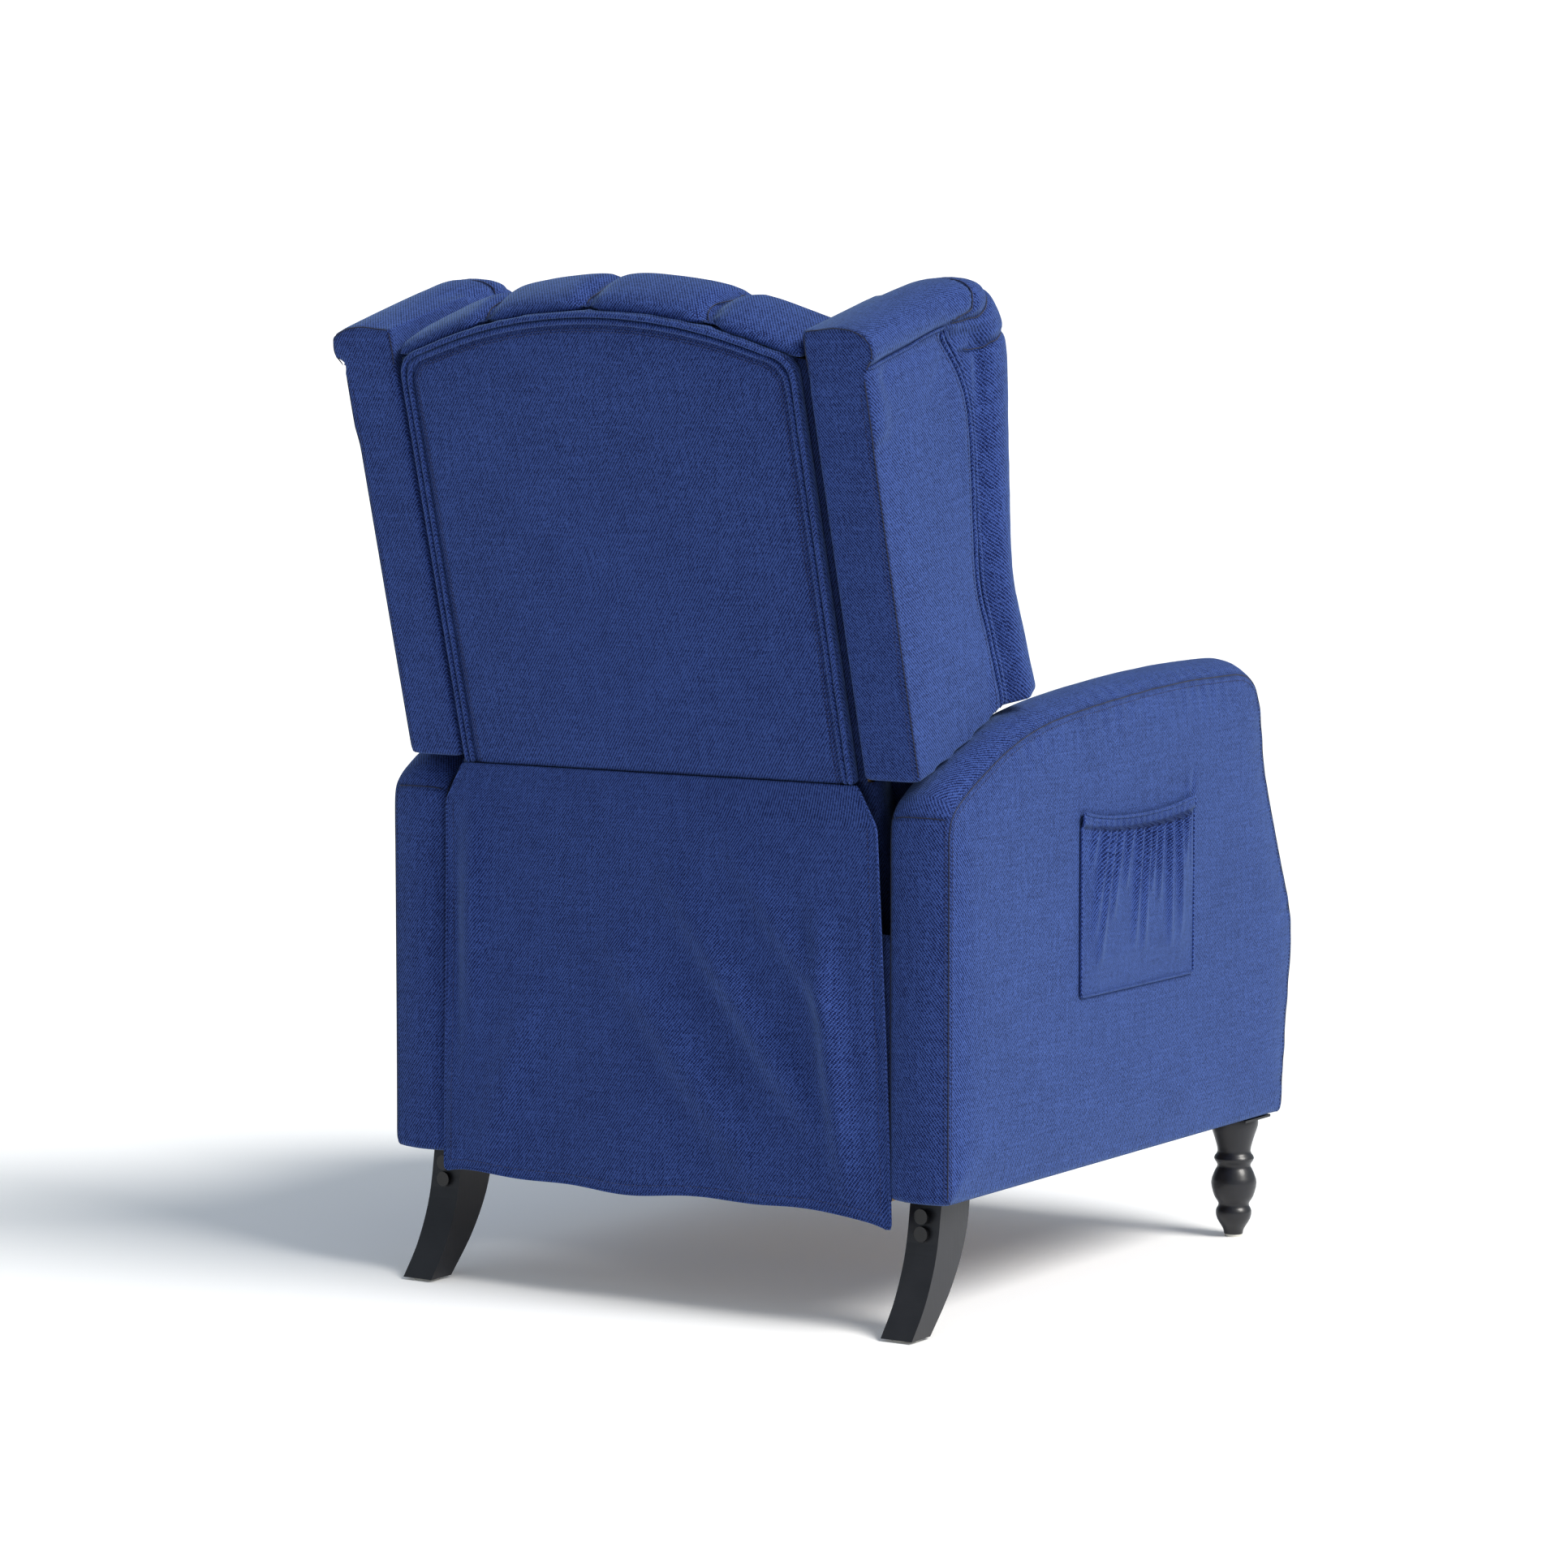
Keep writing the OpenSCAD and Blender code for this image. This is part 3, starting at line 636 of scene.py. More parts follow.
# ---- wings
wing = {"voxel": 6.0 * mm, "pressure": 4.0, "most": 6.0 * mm, "cord": 2.9 * mm, "thinCord": 2.0 * mm,
        "rearStitch": (246 * mm, 645 * mm), "flare": 6 * mm, "forward": 8 * mm, "topForward": 8 * mm}
wingIn, wingOut = armIn - 25 * mm, armIn + 43 * mm
wingFoot, rollU, seamU = 241 * mm, 690 * mm, 672 * mm
wingSpine = catmull([(195, 270, 27), (186, 350, 26), (181, 411, 27), (201, 530, 32), (213, 620, 36),
                     (200, 672, 36), (160, 690, 33), (80, 692, 31), (-2, 690, 30)], 6) * mm
rollX, rollHalf = wingIn + 42 * mm, 42 * mm
panelCorner = (148 * mm, seamU + 3 * mm)  # top front corner of the flat outer panel


def wingRing(i, a0, a1, n=30, swell=1.0):  # part of the roll's section at a place on its spine
    p = wingSpine[i]
    d = wingSpine[min(i + 1, len(wingSpine) - 1)] - wingSpine[max(i - 1, 0)]
    out = np.array([d[1], -d[0]]) / math.hypot(d[0], d[1])
    ring = []
    for a in np.radians(np.linspace(a0, a1, n)):
        r = p[2] * swell * math.cos(a)
        ring.append(onBack(rollX + rollHalf * swell * math.sin(a), p[0] + out[0] * r, p[1] + out[1] * r))
    return np.array(ring)


def wingBlock(v0, v1, u0, u1, x1):
    return [onBack(x, v, u) for x in (wingIn + 2 * mm, x1) for v in (v0, v1) for u in (u0, u1)]


def wingFront(inset=0.0):  # the seam down the front of the outer panel, from its top corner
    path = [(panelCorner[0] - inset, panelCorner[1] - 2 * mm), (160 * mm - inset, seamU - 22 * mm),
            (175 * mm - inset, seamU - 44 * mm)]
    path += [(p[0] - p[2] + 5 * mm - inset, p[1]) for p in wingSpine[22::-1]]
    path += [(170 * mm - inset, wingFoot + 27 * mm)]
    return np.array([onBack(wingOut, v, u) for v, u in roundedPath(path, 2)])


def wingTop(drop=0.0):  # the seam under the roll along the panel's top
    path = [(v, seamU + (3 if v > 0.1 else 0) * mm - drop)
            for v in np.linspace(-2 * mm, panelCorner[0], 24)]
    return np.array([onBack(wingOut + 6 * mm, v, u) for v, u in roundedPath(path, 3)])


def wingFan(i, a1, v, u):  # a gathered seam from near the panel's corner out over the roll
    start, ring = np.array(onBack(wingOut + 10 * mm, v, u)), wingRing(i, a1, -70, 40, 1.25)
    lead = [start + (ring[0] - start) * t for t in np.linspace(0, 0.9, 8)]
    return roundedPath(np.vstack([lead, ring]), 3)


wingRearEdge = np.array([onBack(wingOut, -3 * mm, u) for u in np.linspace(wingFoot, seamU - 4 * mm, 60)])
wingFootEdge = np.array([onBack(wingOut, 0, wingFoot), onBack(wingOut, 168 * mm, wingFoot + 26 * mm)])
rollEnd = catmull([(2, -24), (1.5, 10), (4, 22), (14, 26), (35, 29), (55, 26), (72, 17), (81, 5), (83, -5),
                   (77, -15), (68, -24)], 5)
wingEnd = np.array([onBack(wingIn + x * mm, -4 * mm, rollU + u * mm) for x, u in rollEnd])
wingFans = [wingFan(33, 100, *panelCorner), wingFan(30, 96, *panelCorner),
            wingFan(26, 92, 172 * mm, seamU - 30 * mm)]
wingNodes = ["left_wing_" + part for part in ("inner_pad", "frame", "outer_pad", "roll", "rear_cover")]
wadding = [wingBlock(-4 * mm, 150 * mm, 620 * mm, seamU, wingOut - 1 * mm),
           wingBlock(-4 * mm, 20 * mm, 600 * mm, rollU + 4 * mm, wingOut + 5 * mm),
           wingBlock(-4 * mm, 140 * mm, 640 * mm, rollU + 24 * mm, wingIn + 44 * mm)]
leftWing = voxelSkin("leftWing", weld(wingNodes, wadding), wing["voxel"], 1.0 * mm, True)
co = points(leftWing.data)
local = toBack(co)
ahead = ramp(local[:, 1] - 145 * mm, 25 * mm)
upper = bell(local[:, 2] - 665 * mm, 70 * mm)
outward = ramp(local[:, 0] - wingIn - 20 * mm, 30 * mm)
rise = ramp(local[:, 2] - 700 * mm, 20 * mm)
local[:, 0] += ahead * outward * wing["flare"]
local[:, 1] += ahead * (wing["forward"] + wing["topForward"] * upper * (1 - 0.5 * rise))
local[:, 2] -= rise * 5 * mm
low = ramp(wingFoot + 36 * mm - local[:, 2], 14 * mm)
local[:, 2] -= 4 * mm * low * ramp(local[:, 1] - 20 * mm, 60 * mm)
rear = ramp(3 * mm - local[:, 1], 5 * mm)  # the rear face is drawn flat, so that its edges are crisp
local[:, 1] -= rear * 0.6 * (local[:, 1] + 4 * mm)
setPoints(leftWing.data, fromBack(local))
co = points(leftWing.data)
wingSeams = [wingRearEdge, wingFootEdge, wingEnd, wingTop(), wingFront(), *wingFans]
away = distances(co, [resample(w, 3 * mm) for w in wingSeams])
flatRear = (local[:, 1] < -1 * mm) & (local[:, 2] < 655 * mm)
held = np.maximum(bell(away, 7 * mm), 0.7 * flatRear)
hold(leftWing, np.where(co[:, 0] < wingIn + 3 * mm, 1.0, held), wing["pressure"])


def wingClear(co):
    co[:, 0] = np.maximum(co[:, 0], wingIn)
    return co


# ---- outside back
outside = {"voxel": 6.0 * mm, "pressure": 1.6, "most": 4.0 * mm, "welt": 3.0 * mm, "half": 243 * mm,
           "rise": 52 * mm}
archTop = 732 * mm
archR = (outside["half"] ** 2 + outside["rise"] ** 2) / (2 * outside["rise"])


def arch(x):
    return archTop - archR + math.sqrt(archR ** 2 - min(abs(x), outside["half"] - 1 * mm) ** 2)


def backRim(inset, v, foot=238 * mm):  # up one side of the outside back, over the arch and down the other
    half, r = outside["half"] - inset, 25 * mm
    side = arch(half - r) - inset - r
    half2 = half - r
    path = [(half, u) for u in np.linspace(foot, side, 40)]
    path += [(half2 + r * math.cos(a), side + r * math.sin(a)) for a in np.linspace(0.1, 1.45, 9)]
    path += [(x, arch(x) - inset) for x in np.linspace(half2, -half2, 50)]
    path += [(-half2 - r * math.cos(a), side + r * math.sin(a)) for a in np.linspace(1.45, 0.1, 9)]
    path += [(-half, u) for u in np.linspace(side, foot, 40)]
    path = roundedPath(path, 3)
    return np.array([onBack(x, v, u) for x, u in path])


outsideBack = voxelSkin("outsideBack", weld(["outside_back_panel"]), outside["voxel"], 0.8 * mm, True)
co = points(outsideBack.data)
away = distances(co, [resample(backRim(0, -8 * mm), 3 * mm), resample(backRim(0, 8 * mm), 3 * mm)])
foot = np.array([onBack(x, v, 238 * mm) for v in (-8 * mm, 8 * mm)
                 for x in (-outside["half"], outside["half"])])
awayFoot = distances(co, [resample(foot[:2], 3 * mm), resample(foot[2:], 3 * mm)])
forward = np.array([0, -math.cos(lean), math.sin(lean)])
front = (co - np.array(onBack(0, 0, 0))) @ forward > 2 * mm
hold(outsideBack, np.where(front, 1.0, bell(np.minimum(away, awayFoot), 9 * mm)), outside["pressure"])

# ---- back cushion, tufted with buttons, its roll pleated over the top
tuft = {"voxel": 7.5 * mm, "pressure": 4.5, "most": 24 * mm, "pleats": (136 * mm, 4 * mm, -142 * mm),
        "rows": (550 * mm, 420 * mm), "buttonR": 12 * mm, "sink": 15 * mm}


backCushion = voxelSkin("backCushion", weld(["back_cushion"]), tuft["voxel"], 2.0 * mm, True)
local = toBack(points(backCushion.data))
under = local[:, 2] - np.array([arch(x) for x in local[:, 0]])
tuck = ramp(26 * mm - under, 20 * mm) * (under > -6 * mm) * ramp(44 * mm - local[:, 1], 14 * mm)
local[:, 2] -= tuck * 7 * mm  # the roll settles on the outside back's edge
local[:, 1] -= tuck * 3 * mm
setPoints(backCushion.data, fromBack(local))
surface = surfaceOf(backCushion)


def rollPath(x, downTo):  # over the roll in one plane, from the panel's edge to a height on the front
    a = arch(x)
    steps = [(0, a + 4 * mm), (-1 * mm, a + 14 * mm), (20 * mm, a + 27 * mm), (60 * mm, a + 27 * mm),
             (105 * mm, a + 12 * mm), (140 * mm, a - 40 * mm), (152 * mm, a - 90 * mm), (153 * mm, downTo)]
    path = resample([onBack(x, v, u) for v, u in steps], 3 * mm)
    return laidOn(surface, path)[0]


def frontPath(x0, u0, x1, u1):
    path = [onBack(x0 + (x1 - x0) * t, 150 * mm, u0 + (u1 - u0) * t) for t in np.linspace(0, 1, 60)]
    return laidOn(surface, path)[0]


pleatPaths = [rollPath(x, tuft["rows"][0]) for x in tuft["pleats"]]
columns = (139 * mm, 0.0, -139 * mm)
tuftPaths = [frontPath(x, tuft["rows"][0], x, tuft["rows"][1]) for x in columns]
tuftPaths += [frontPath(x, tuft["rows"][1], x, 250 * mm) for x in columns]
for row in tuft["rows"]:
    tuftPaths += [frontPath(-225 * mm, row, 225 * mm, row)]
lumbar = frontPath(-238 * mm, 236 * mm, 238 * mm, 236 * mm)
buttonSpots = [onBack(x, 150 * mm, row) for x in columns for row in tuft["rows"]]
buttonSpots = laidOn(surface, buttonSpots)[0]
co, nn = points(backCushion.data), vertexNormals(backCushion.data)
awayPleat = distances(co, pleatPaths + [lumbar])
awayTuft = distances(co, tuftPaths)
awayButton = distances(co, [buttonSpots])
drop = np.maximum(9 * mm * bell(awayPleat, 11 * mm), 7 * mm * bell(awayTuft, 13 * mm))
drop = np.maximum(drop, tuft["sink"] * bell(awayButton, 26 * mm))
setPoints(backCushion.data, co - nn * drop[:, None])
local = toBack(co)
held = np.maximum(bell(awayPleat, 5 * mm), bell(awayButton, 10 * mm))
held = np.maximum(held, 0.5 * bell(awayTuft, 5 * mm))
behind = (local[:, 1] < 46 * mm) & (local[:, 2] < 690 * mm)
hold(backCushion, np.where(behind | (local[:, 2] < 14 * mm), 1.0, held), tuft["pressure"])


def backClear(co):
    side = armIn - 26 * mm
    co[:, 0] = np.clip(co[:, 0], -side, side)
    return co


# ---- seat cushion and footrest pad
seat = {"voxel": 7.5 * mm, "pressure": 4.0, "most": 22 * mm, "welt": 3.4 * mm}
seatY, seatZ = (noseY + 25 * mm, rearY - 212 * mm), (350 * mm, 472 * mm)
seatHalf = armIn - 5 * mm


def cushionLoop(half, a, b, edge):  # the seam round the top of a box cushion, its corners a little low
    across, drop = np.linspace(-1, 1, 60), 10 * mm
    front = [(half * k, a, edge - drop * abs(k) ** 6) for k in across]
    back = [(half * k, b, edge - drop * abs(k) ** 6) for k in across[::-1]]
    down = np.linspace(0, 1, 30)[1:-1]
    right = [(half, a + (b - a) * t, edge - drop) for t in down]
    left = [(-half, b + (a - b) * t, edge - drop) for t in down]
    return np.array(front + right + back + left + front[:1])


seatLoop = cushionLoop(seatHalf, seatY[0], seatY[1], seatZ[1])
seatCushion = voxelSkin("seatCushion", weld(["seat_cushion"]), seat["voxel"], 2.0 * mm)
co = points(seatCushion.data)
away = distances(co, [resample(seatLoop, 3 * mm)])
hold(seatCushion, np.where(co[:, 2] < seatZ[0] + 6 * mm, 1.0, bell(away, 7 * mm)), seat["pressure"])


def seatClear(co):
    side = armIn - 1.5 * mm
    co[:, 0] = np.clip(co[:, 0], -side, side)
    co[:, 2] = np.clip(co[:, 2], seatZ[0] + 0.3 * mm, None)
    co[:, 1] = np.minimum(co[:, 1], seatY[1] + 8 * mm)
    return co


footPad = {"voxel": 6.0 * mm, "pressure": 3.5, "most": 10 * mm, "welt": 3.0 * mm}
restLow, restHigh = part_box("footrest_pad")
restPad = voxelSkin("footrestPad", weld(["footrest_pad"]), footPad["voxel"], 1.0 * mm)
co = points(restPad.data)
frontRim = np.array([(x, restLow[1], z) for x, z in [
    (restLow[0], restLow[2]), (restHigh[0], restLow[2]), (restHigh[0], restHigh[2]),
    (restLow[0], restHigh[2]), (restLow[0], restLow[2])]])
frontRim = resample(frontRim, 3 * mm)
away = distances(co, [frontRim])
hold(restPad, np.where(co[:, 1] > restHigh[1] - 6 * mm, 1.0, bell(away, 7 * mm)), footPad["pressure"])


def restClear(co):
    co[:, 1] = np.clip(co[:, 1], restLow[1] - 13 * mm, restHigh[1] - 0.3 * mm)
    co[:, 0] = np.clip(co[:, 0], restLow[0] - 1 * mm, restHigh[0] + 1 * mm)
    co[:, 2] = np.minimum(co[:, 2], restHigh[2] + 1.5 * mm)
    return co


inflate([(leftArm, arm["most"], armClear), (leftWing, wing["most"], wingClear),
         (outsideBack, outside["most"], None), (backCushion, tuft["most"], backClear),
         (seatCushion, seat["most"], seatClear), (restPad, footPad["most"], restClear)])
print("padding inflated")

# Seams are drawn in after the pressure
sew(leftArm, [(armSeamOut, -0.8 * mm, 4 * mm), (armSeamIn, -0.8 * mm, 4 * mm),
              (armRearSeam, 0.9 * mm, 4 * mm)])
pucker(leftArm, armSeamOut[:-12], 0.55 * mm, 26 * mm, 30 * mm)
sew(leftWing, [(wingRearEdge, -0.6 * mm, 4 * mm), (wingEnd, -0.6 * mm, 4 * mm),
               (wingTop(), 3.4 * mm, 6 * mm), (wingFront(), 3.2 * mm, 7 * mm),
               *[(w, 3.2 * mm, 5 * mm) for w in wingFans]])
pucker(leftWing, wingFans[0], 0.9 * mm, 9 * mm, 14 * mm)
sew(outsideBack, [(backRim(0, -8 * mm), -0.5 * mm, 4 * mm),
                  (backRim(15 * mm, -8 * mm), 1.6 * mm, 4.5 * mm)])
sew(backCushion, [(p, 2.5 * mm, 5 * mm) for p in pleatPaths + tuftPaths + [lumbar]])
sew(seatCushion, [(seatLoop, 1.0 * mm, 5 * mm)])
sew(restPad, [(frontRim, 0.8 * mm, 5 * mm)])
for piece, slope in ((leftArm, 0), (leftWing, lean), (outsideBack, lean), (backCushion, lean),
                     (seatCushion, 0), (restPad, 0)):
    dress(piece, cloth, slope=slope)
rightArm = dress(mirrored(leftArm, "rightArm"), cloth)
rightWing = dress(mirrored(leftWing, "rightWing"), cloth)
tugAt = (rearY - 498 * mm, 512 * mm)  # a tug line above the pocket's front corner
co, nn = points(rightArm.data), vertexNormals(rightArm.data)
up = ramp(co[:, 2] - tugAt[1], 38 * mm)
reach = (co[:, 2] > tugAt[1] - 8 * mm) * (1 - up)
dent = bell(co[:, 1] - tugAt[0] + 4 * mm * up, 3.5 * mm) * reach
ridge = bell(co[:, 1] - tugAt[0] - 8 * mm, 5 * mm) * reach
pull = (1.6 * ridge - 2.6 * dent) * (co[:, 0] < -halfW + 12 * mm)
setPoints(rightArm.data, co + nn * pull[:, None] * mm)


def onRight(nodes):
    return [n.replace("left", "right") for n in nodes]


for piece, body, fill, covered in (
        (leftArm, "base", 0.9, armNodes), (rightArm, "base", 0.9, onRight(armNodes)),
        (leftWing, "back", 0.85, wingNodes), (rightWing, "back", 0.85, onRight(wingNodes)),
        (outsideBack, "back", 0.8, ["outside_back_panel"]), (backCushion, "back", 0.7, ["back_cushion"]),
        (seatCushion, "seat", 0.75, ["seat_cushion"]), (restPad, "footrest", 0.8, ["footrest_pad"])):
    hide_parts(*covered)
    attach(piece, body)
print("seams sewn")

# ---- welts and buttons
armSurface, wingSurface = surfaceOf(leftArm), surfaceOf(leftWing)
outsideSurface, cushionSurface = surfaceOf(outsideBack), surfaceOf(backCushion)
seatSurface, restSurface = surfaceOf(seatCushion), surfaceOf(restPad)


def welt(name, body, surface, paths, radius, lift=0.3):
    laid = []
    for p in paths:
        at, _ = laidOn(surface, resample(p, 4 * mm), radius * lift)
        laid.append(roundedPath(at, 2))
    obj = tubes(name, laid, radius)
    dress(obj, cloth, slope=lean if body == "back" else 0)
    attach(obj, body)
    return obj


rightSurface = surfaceOf(rightWing)
for side, face, turn in (("left", wingSurface, np.asarray), ("right", rightSurface, flipX)):
    welt(side + "WingWelt", "back", face, [turn(wingFront(-3 * mm)), turn(wingFront(5 * mm))],
         wing["cord"], 0.3)
    welt(side + "WingTopWelt", "back", face, [turn(wingTop(1 * mm))], wing["thinCord"], 0.3)
welt("outsideBackWelt", "back", outsideSurface, [backRim(3.5 * mm, -9 * mm), backRim(11 * mm, -9 * mm)],
     outside["welt"], 0.45)
welt("seatWelt", "seat", seatSurface, [seatLoop], seat["welt"], 0.5)
welt("footrestWelt", "footrest", restSurface, [frontRim], footPad["welt"], 0.5)


def makeButtons():
    verts, faces = [], []
    rings = [(0.2, 4.2), (0.55, 3.6), (0.85, 2.2), (1.0, 0.6), (0.96, -1.2), (0.6, -2.6)]
    for spot in buttonSpots:
        hit, nn, _, _ = cushionSurface.find_nearest(Vector(spot), 0.06)
        nn = (nn + Vector((0, -math.cos(lean), math.sin(lean)))).normalized()
        side = nn.cross(Vector((0, 0, 1))).normalized()
        up = nn.cross(side)
        hit = hit + nn * 2.5 * mm
        base = len(verts)
        verts.append(hit + nn * 4.5 * mm)
        for share, lift in rings:
            for k in range(24):
                a = 2 * math.pi * k / 24
                verts.append(hit + tuft["buttonR"] * share * (math.cos(a) * side + math.sin(a) * up)
                             + nn * lift * mm)
        verts.append(hit - nn * 3 * mm)
        faces += [(base, base + 1 + k, base + 1 + (k + 1) % 24) for k in range(24)]
        for r in range(len(rings) - 1):
            for k in range(24):
                a, b = base + 1 + r * 24 + k, base + 1 + r * 24 + (k + 1) % 24
                faces.append((a, a + 24, b + 24, b))
        last = base + 1 + (len(rings) - 1) * 24
        faces += [(last + 24, last + (k + 1) % 24, last + k) for k in range(24)]
    obj = dress(faceOut(newObject("backButtons", verts, faces)), cloth, slope=lean)
    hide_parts("back_buttons")
    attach(obj, "back")


makeButtons()

# ---- lining cloth stretched over the back's frame and behind the seat
lining = {"thick": 0.8 * mm, "half": 249.5 * mm, "frame": 255.7 * mm, "wrap": 40 * mm, "v": 7.1 * mm,
          "top": 410 * mm, "inset": 3.6 * mm, "upperCut": 0.475, "skirtCut": 0.231}


def gridSheet(name, grid):
    rows, cols = grid.shape[:2]
    faces = [(j * cols + i, j * cols + i + 1, (j + 1) * cols + i + 1, (j + 1) * cols + i)
             for j in range(rows - 1) for i in range(cols - 1)]
    return newObject(name, grid.reshape(-1, 3), faces)


def layFlat(obj, cols, spot):  # the cloth map of a grid, from each point's column and row
    uv = obj.data.uv_layers.new(name="cloth")
    for loop in obj.data.loops:
        uv.data[loop.index].uv = spot(loop.vertex_index % cols, loop.vertex_index // cols)


def thicken(obj, thick):
    solid = obj.modifiers.new("thick", "SOLIDIFY")
    solid.thickness, solid.offset = thick, 0
    return keepShape(obj)


def makeLining(name, body, grid):
    obj = thicken(gridSheet(name, grid), lining["thick"])
    dress(obj, liningCloth, slope=0)
    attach(obj, body)


def liningWave(a, b):
    return 0.5 * mm * math.sin(23 * a + 3) * math.sin(31 * b)


across = np.linspace(-1, 1, 41)
upper = [[onBack(lining["half"] * a, lining["v"] - liningWave(a, t),
                 236 * mm + t * (arch(lining["half"] * a) - 238 * mm))
          for a in across] for t in np.linspace(0, 1, 41)]
makeLining("backLining", "back", np.array(upper))
wraps = [lining["wrap"], 24 * mm]
lower = [[onBack(-lining["frame"], w, u) for w in wraps]
         + [onBack(lining["frame"] * a, lining["v"] - liningWave(a, u), u) for a in across]
         + [onBack(lining["frame"], w, u) for w in wraps[::-1]] for u in np.linspace(8 * mm, 239 * mm, 21)]
makeLining("backSkirtLining", "back", np.array(lower))
low = legH + 2 * mm
behind = [[((armIn + 5 * mm) * a, rearY - lining["inset"] + liningWave(a, z), z) for a in across]
          for z in np.linspace(low, lining["top"], 25)]
makeLining("rearLining", "base", np.array(behind))

# ---- rear flap
flap = {"thick": 2.2 * mm, "hem": 6 * mm, "steps": (120, 100), "cut": (0.558, 0.437), "shoulder": 42 * mm,
        "half": (245 * mm, 268 * mm, 279 * mm),  # half widths at the top, below the shoulder and at the hem
        # each fold's start and end (x, share of the drop), width and height
        "folds": ((-0.02, 0.25, -0.21, 0.86, 0.017, 9), (-0.10, 0.18, -0.245, 0.62, 0.014, 7),
                  (0.05, 0.42, -0.15, 1.02, 0.022, 7), (-0.20, 0.30, -0.235, 1.0, 0.015, 11),
                  (0.16, 0.55, 0.23, 1.0, 0.022, 4), (0.232, 0.0, 0.238, 0.62, 0.013, 8),
                  (0.258, 0.12, 0.262, 0.8, 0.010, -5), (-0.262, 0.15, -0.27, 1.0, 0.008, -4))}
flapTop = np.array(onBack(0, -6.5 * mm, 240.5 * mm)[1:])
flapLow = np.array([rearY + 2 * mm, legH - 15 * mm])


def flapPoint(s, t):  # s across from -1 to 1, t down from 0 to 1
    drop = flapTop - flapLow
    long = math.hypot(*drop)
    out = np.array([drop[1], -drop[0]]) / long
    down = t * long
    top, middle, foot = flap["half"]
    below = max(0, (down - flap["shoulder"]) / (long - flap["shoulder"]))
    half = top + (middle - top) * min(down / flap["shoulder"], 1) + (foot - middle) * below
    x = half * s
    free = t * t * (3 - 2 * t)
    fold = 0.0
    for x0, t0, x1, t1, wide, tall in flap["folds"]:
        dx, dt = x1 - x0, t1 - t0
        k = np.clip(((x - x0) * dx + (t - t0) * dt * 0.19) / (dx ** 2 + dt ** 2 * 0.19), 0, 1)
        gap = math.hypot(x - x0 - k * dx, (t - t0 - k * dt) * 0.435)
        swell = math.sin(math.pi * min(1.0, 0.15 + 0.85 * k))
        fold += 1.5 * tall * mm * math.exp(-(gap / wide) ** 2) * swell
    sway = 3.5 * mm * math.sin(9 * x + 1.2) * free + 2.0 * mm * math.sin(31 * x + 0.6) * free * t
    at = flapTop - drop * t + out * (fold * free ** 0.4 + sway + 1.5 * mm)
    edge = max(0.0, (t - 0.86) / 0.14)
    droop = (10 if s < 0 else 5) * mm * abs(s) ** 14
    droop += 2.5 * mm * math.sin(17 * x + 0.4) + 1.5 * mm * math.sin(43 * x)
    inside = min(half - abs(x), (1 - t) * long)
    hem = 1.1 * mm * (1 - 1 / (1 + math.exp((flap["hem"] - inside) / (0.8 * mm))))
    return (x, at[0] + 0.9 * mm - hem, at[1] - edge * droop)


def onSeam(obj):  # the object's placement baked into its mesh
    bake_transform(obj)


def makeFlap():
    nx, nz = flap["steps"]
    grid = np.array([[flapPoint(2 * i / nx - 1, j / nz) for i in range(nx + 1)] for j in range(nz + 1)])
    obj = gridSheet("rearFlap", grid)
    if np.mean([p.normal.y for p in obj.data.polygons]) < 0:
        obj.data.flip_normals()
    top, middle, foot = flap["half"]
    layFlat(obj, nx + 1, lambda i, j: ((2 * i / nx - 1) * foot, -j / nz * flap["cut"][1]))
    setPaintedShade(obj, np.zeros(len(obj.data.vertices)))
    thicken(obj, flap["thick"])
    fine = obj.modifiers.new("fine", "SUBSURF")
    fine.levels = fine.render_levels = 1
    keepShape(obj)
    dress(obj, cloth)
    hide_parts("rear_flap")
    rim = np.vstack([grid[:, 0], grid[-1, 1:], grid[-2::-1, -1]])
    roll = tubes("flapHem", [resample(roundedPath(rim, 1), 4 * mm)], 1.7 * mm)
    dress(roll, cloth, slope=0)
    onSeam(roll)
    onSeam(obj)
    return obj, grid


rearFlap, flapGrid = makeFlap()

# ---- side pocket, gathered along its top by an elastic hem
pocket = {"y": (noseY + 249 * mm, noseY + 493 * mm), "z": (legH + 187 * mm, legH + 375 * mm), "gathers": 13,
          "steps": (150, 80), "hem": 13 * mm, "cut": (0.30, 0.215), "map": (0.27, 0.19)}
rightArmSurface = surfaceOf(rightArm)


def armFaceX(y, z):
    hit, _, _, _ = rightArmSurface.ray_cast(Vector((-0.5, y, z)), Vector((1, 0, 0)), 0.4)
    return hit.x if hit else -halfW


def pocketDepth(a, b):  # how far the cloth stands off the arm, a across and b up
    side = min(1.0, math.sin(math.pi * a) * 2.4) if 0 < a < 1 else 0.0
    belly = 7.5 * mm * side * (0.25 + 0.75 * b) * min(1.0, b * 5)
    wave = 0.0
    for k in range(pocket["gathers"]):
        at = 0.05 + 0.90 * (k + 0.5 + 0.22 * math.sin(5.1 * k)) / pocket["gathers"]
        reach = 0.30 + 0.55 * abs(math.sin(2.3 * k + 0.7))
        fall = max(0.0, 1 - (1 - b) / reach)
        drift = (at - 0.55) * (1 - b) * 0.35
        wave += math.exp(-((a - at - drift) / (0.013 + 0.016 * (1 - b))) ** 2) * fall ** 0.7
    return 1.2 * mm + belly + 8.5 * mm * wave * side


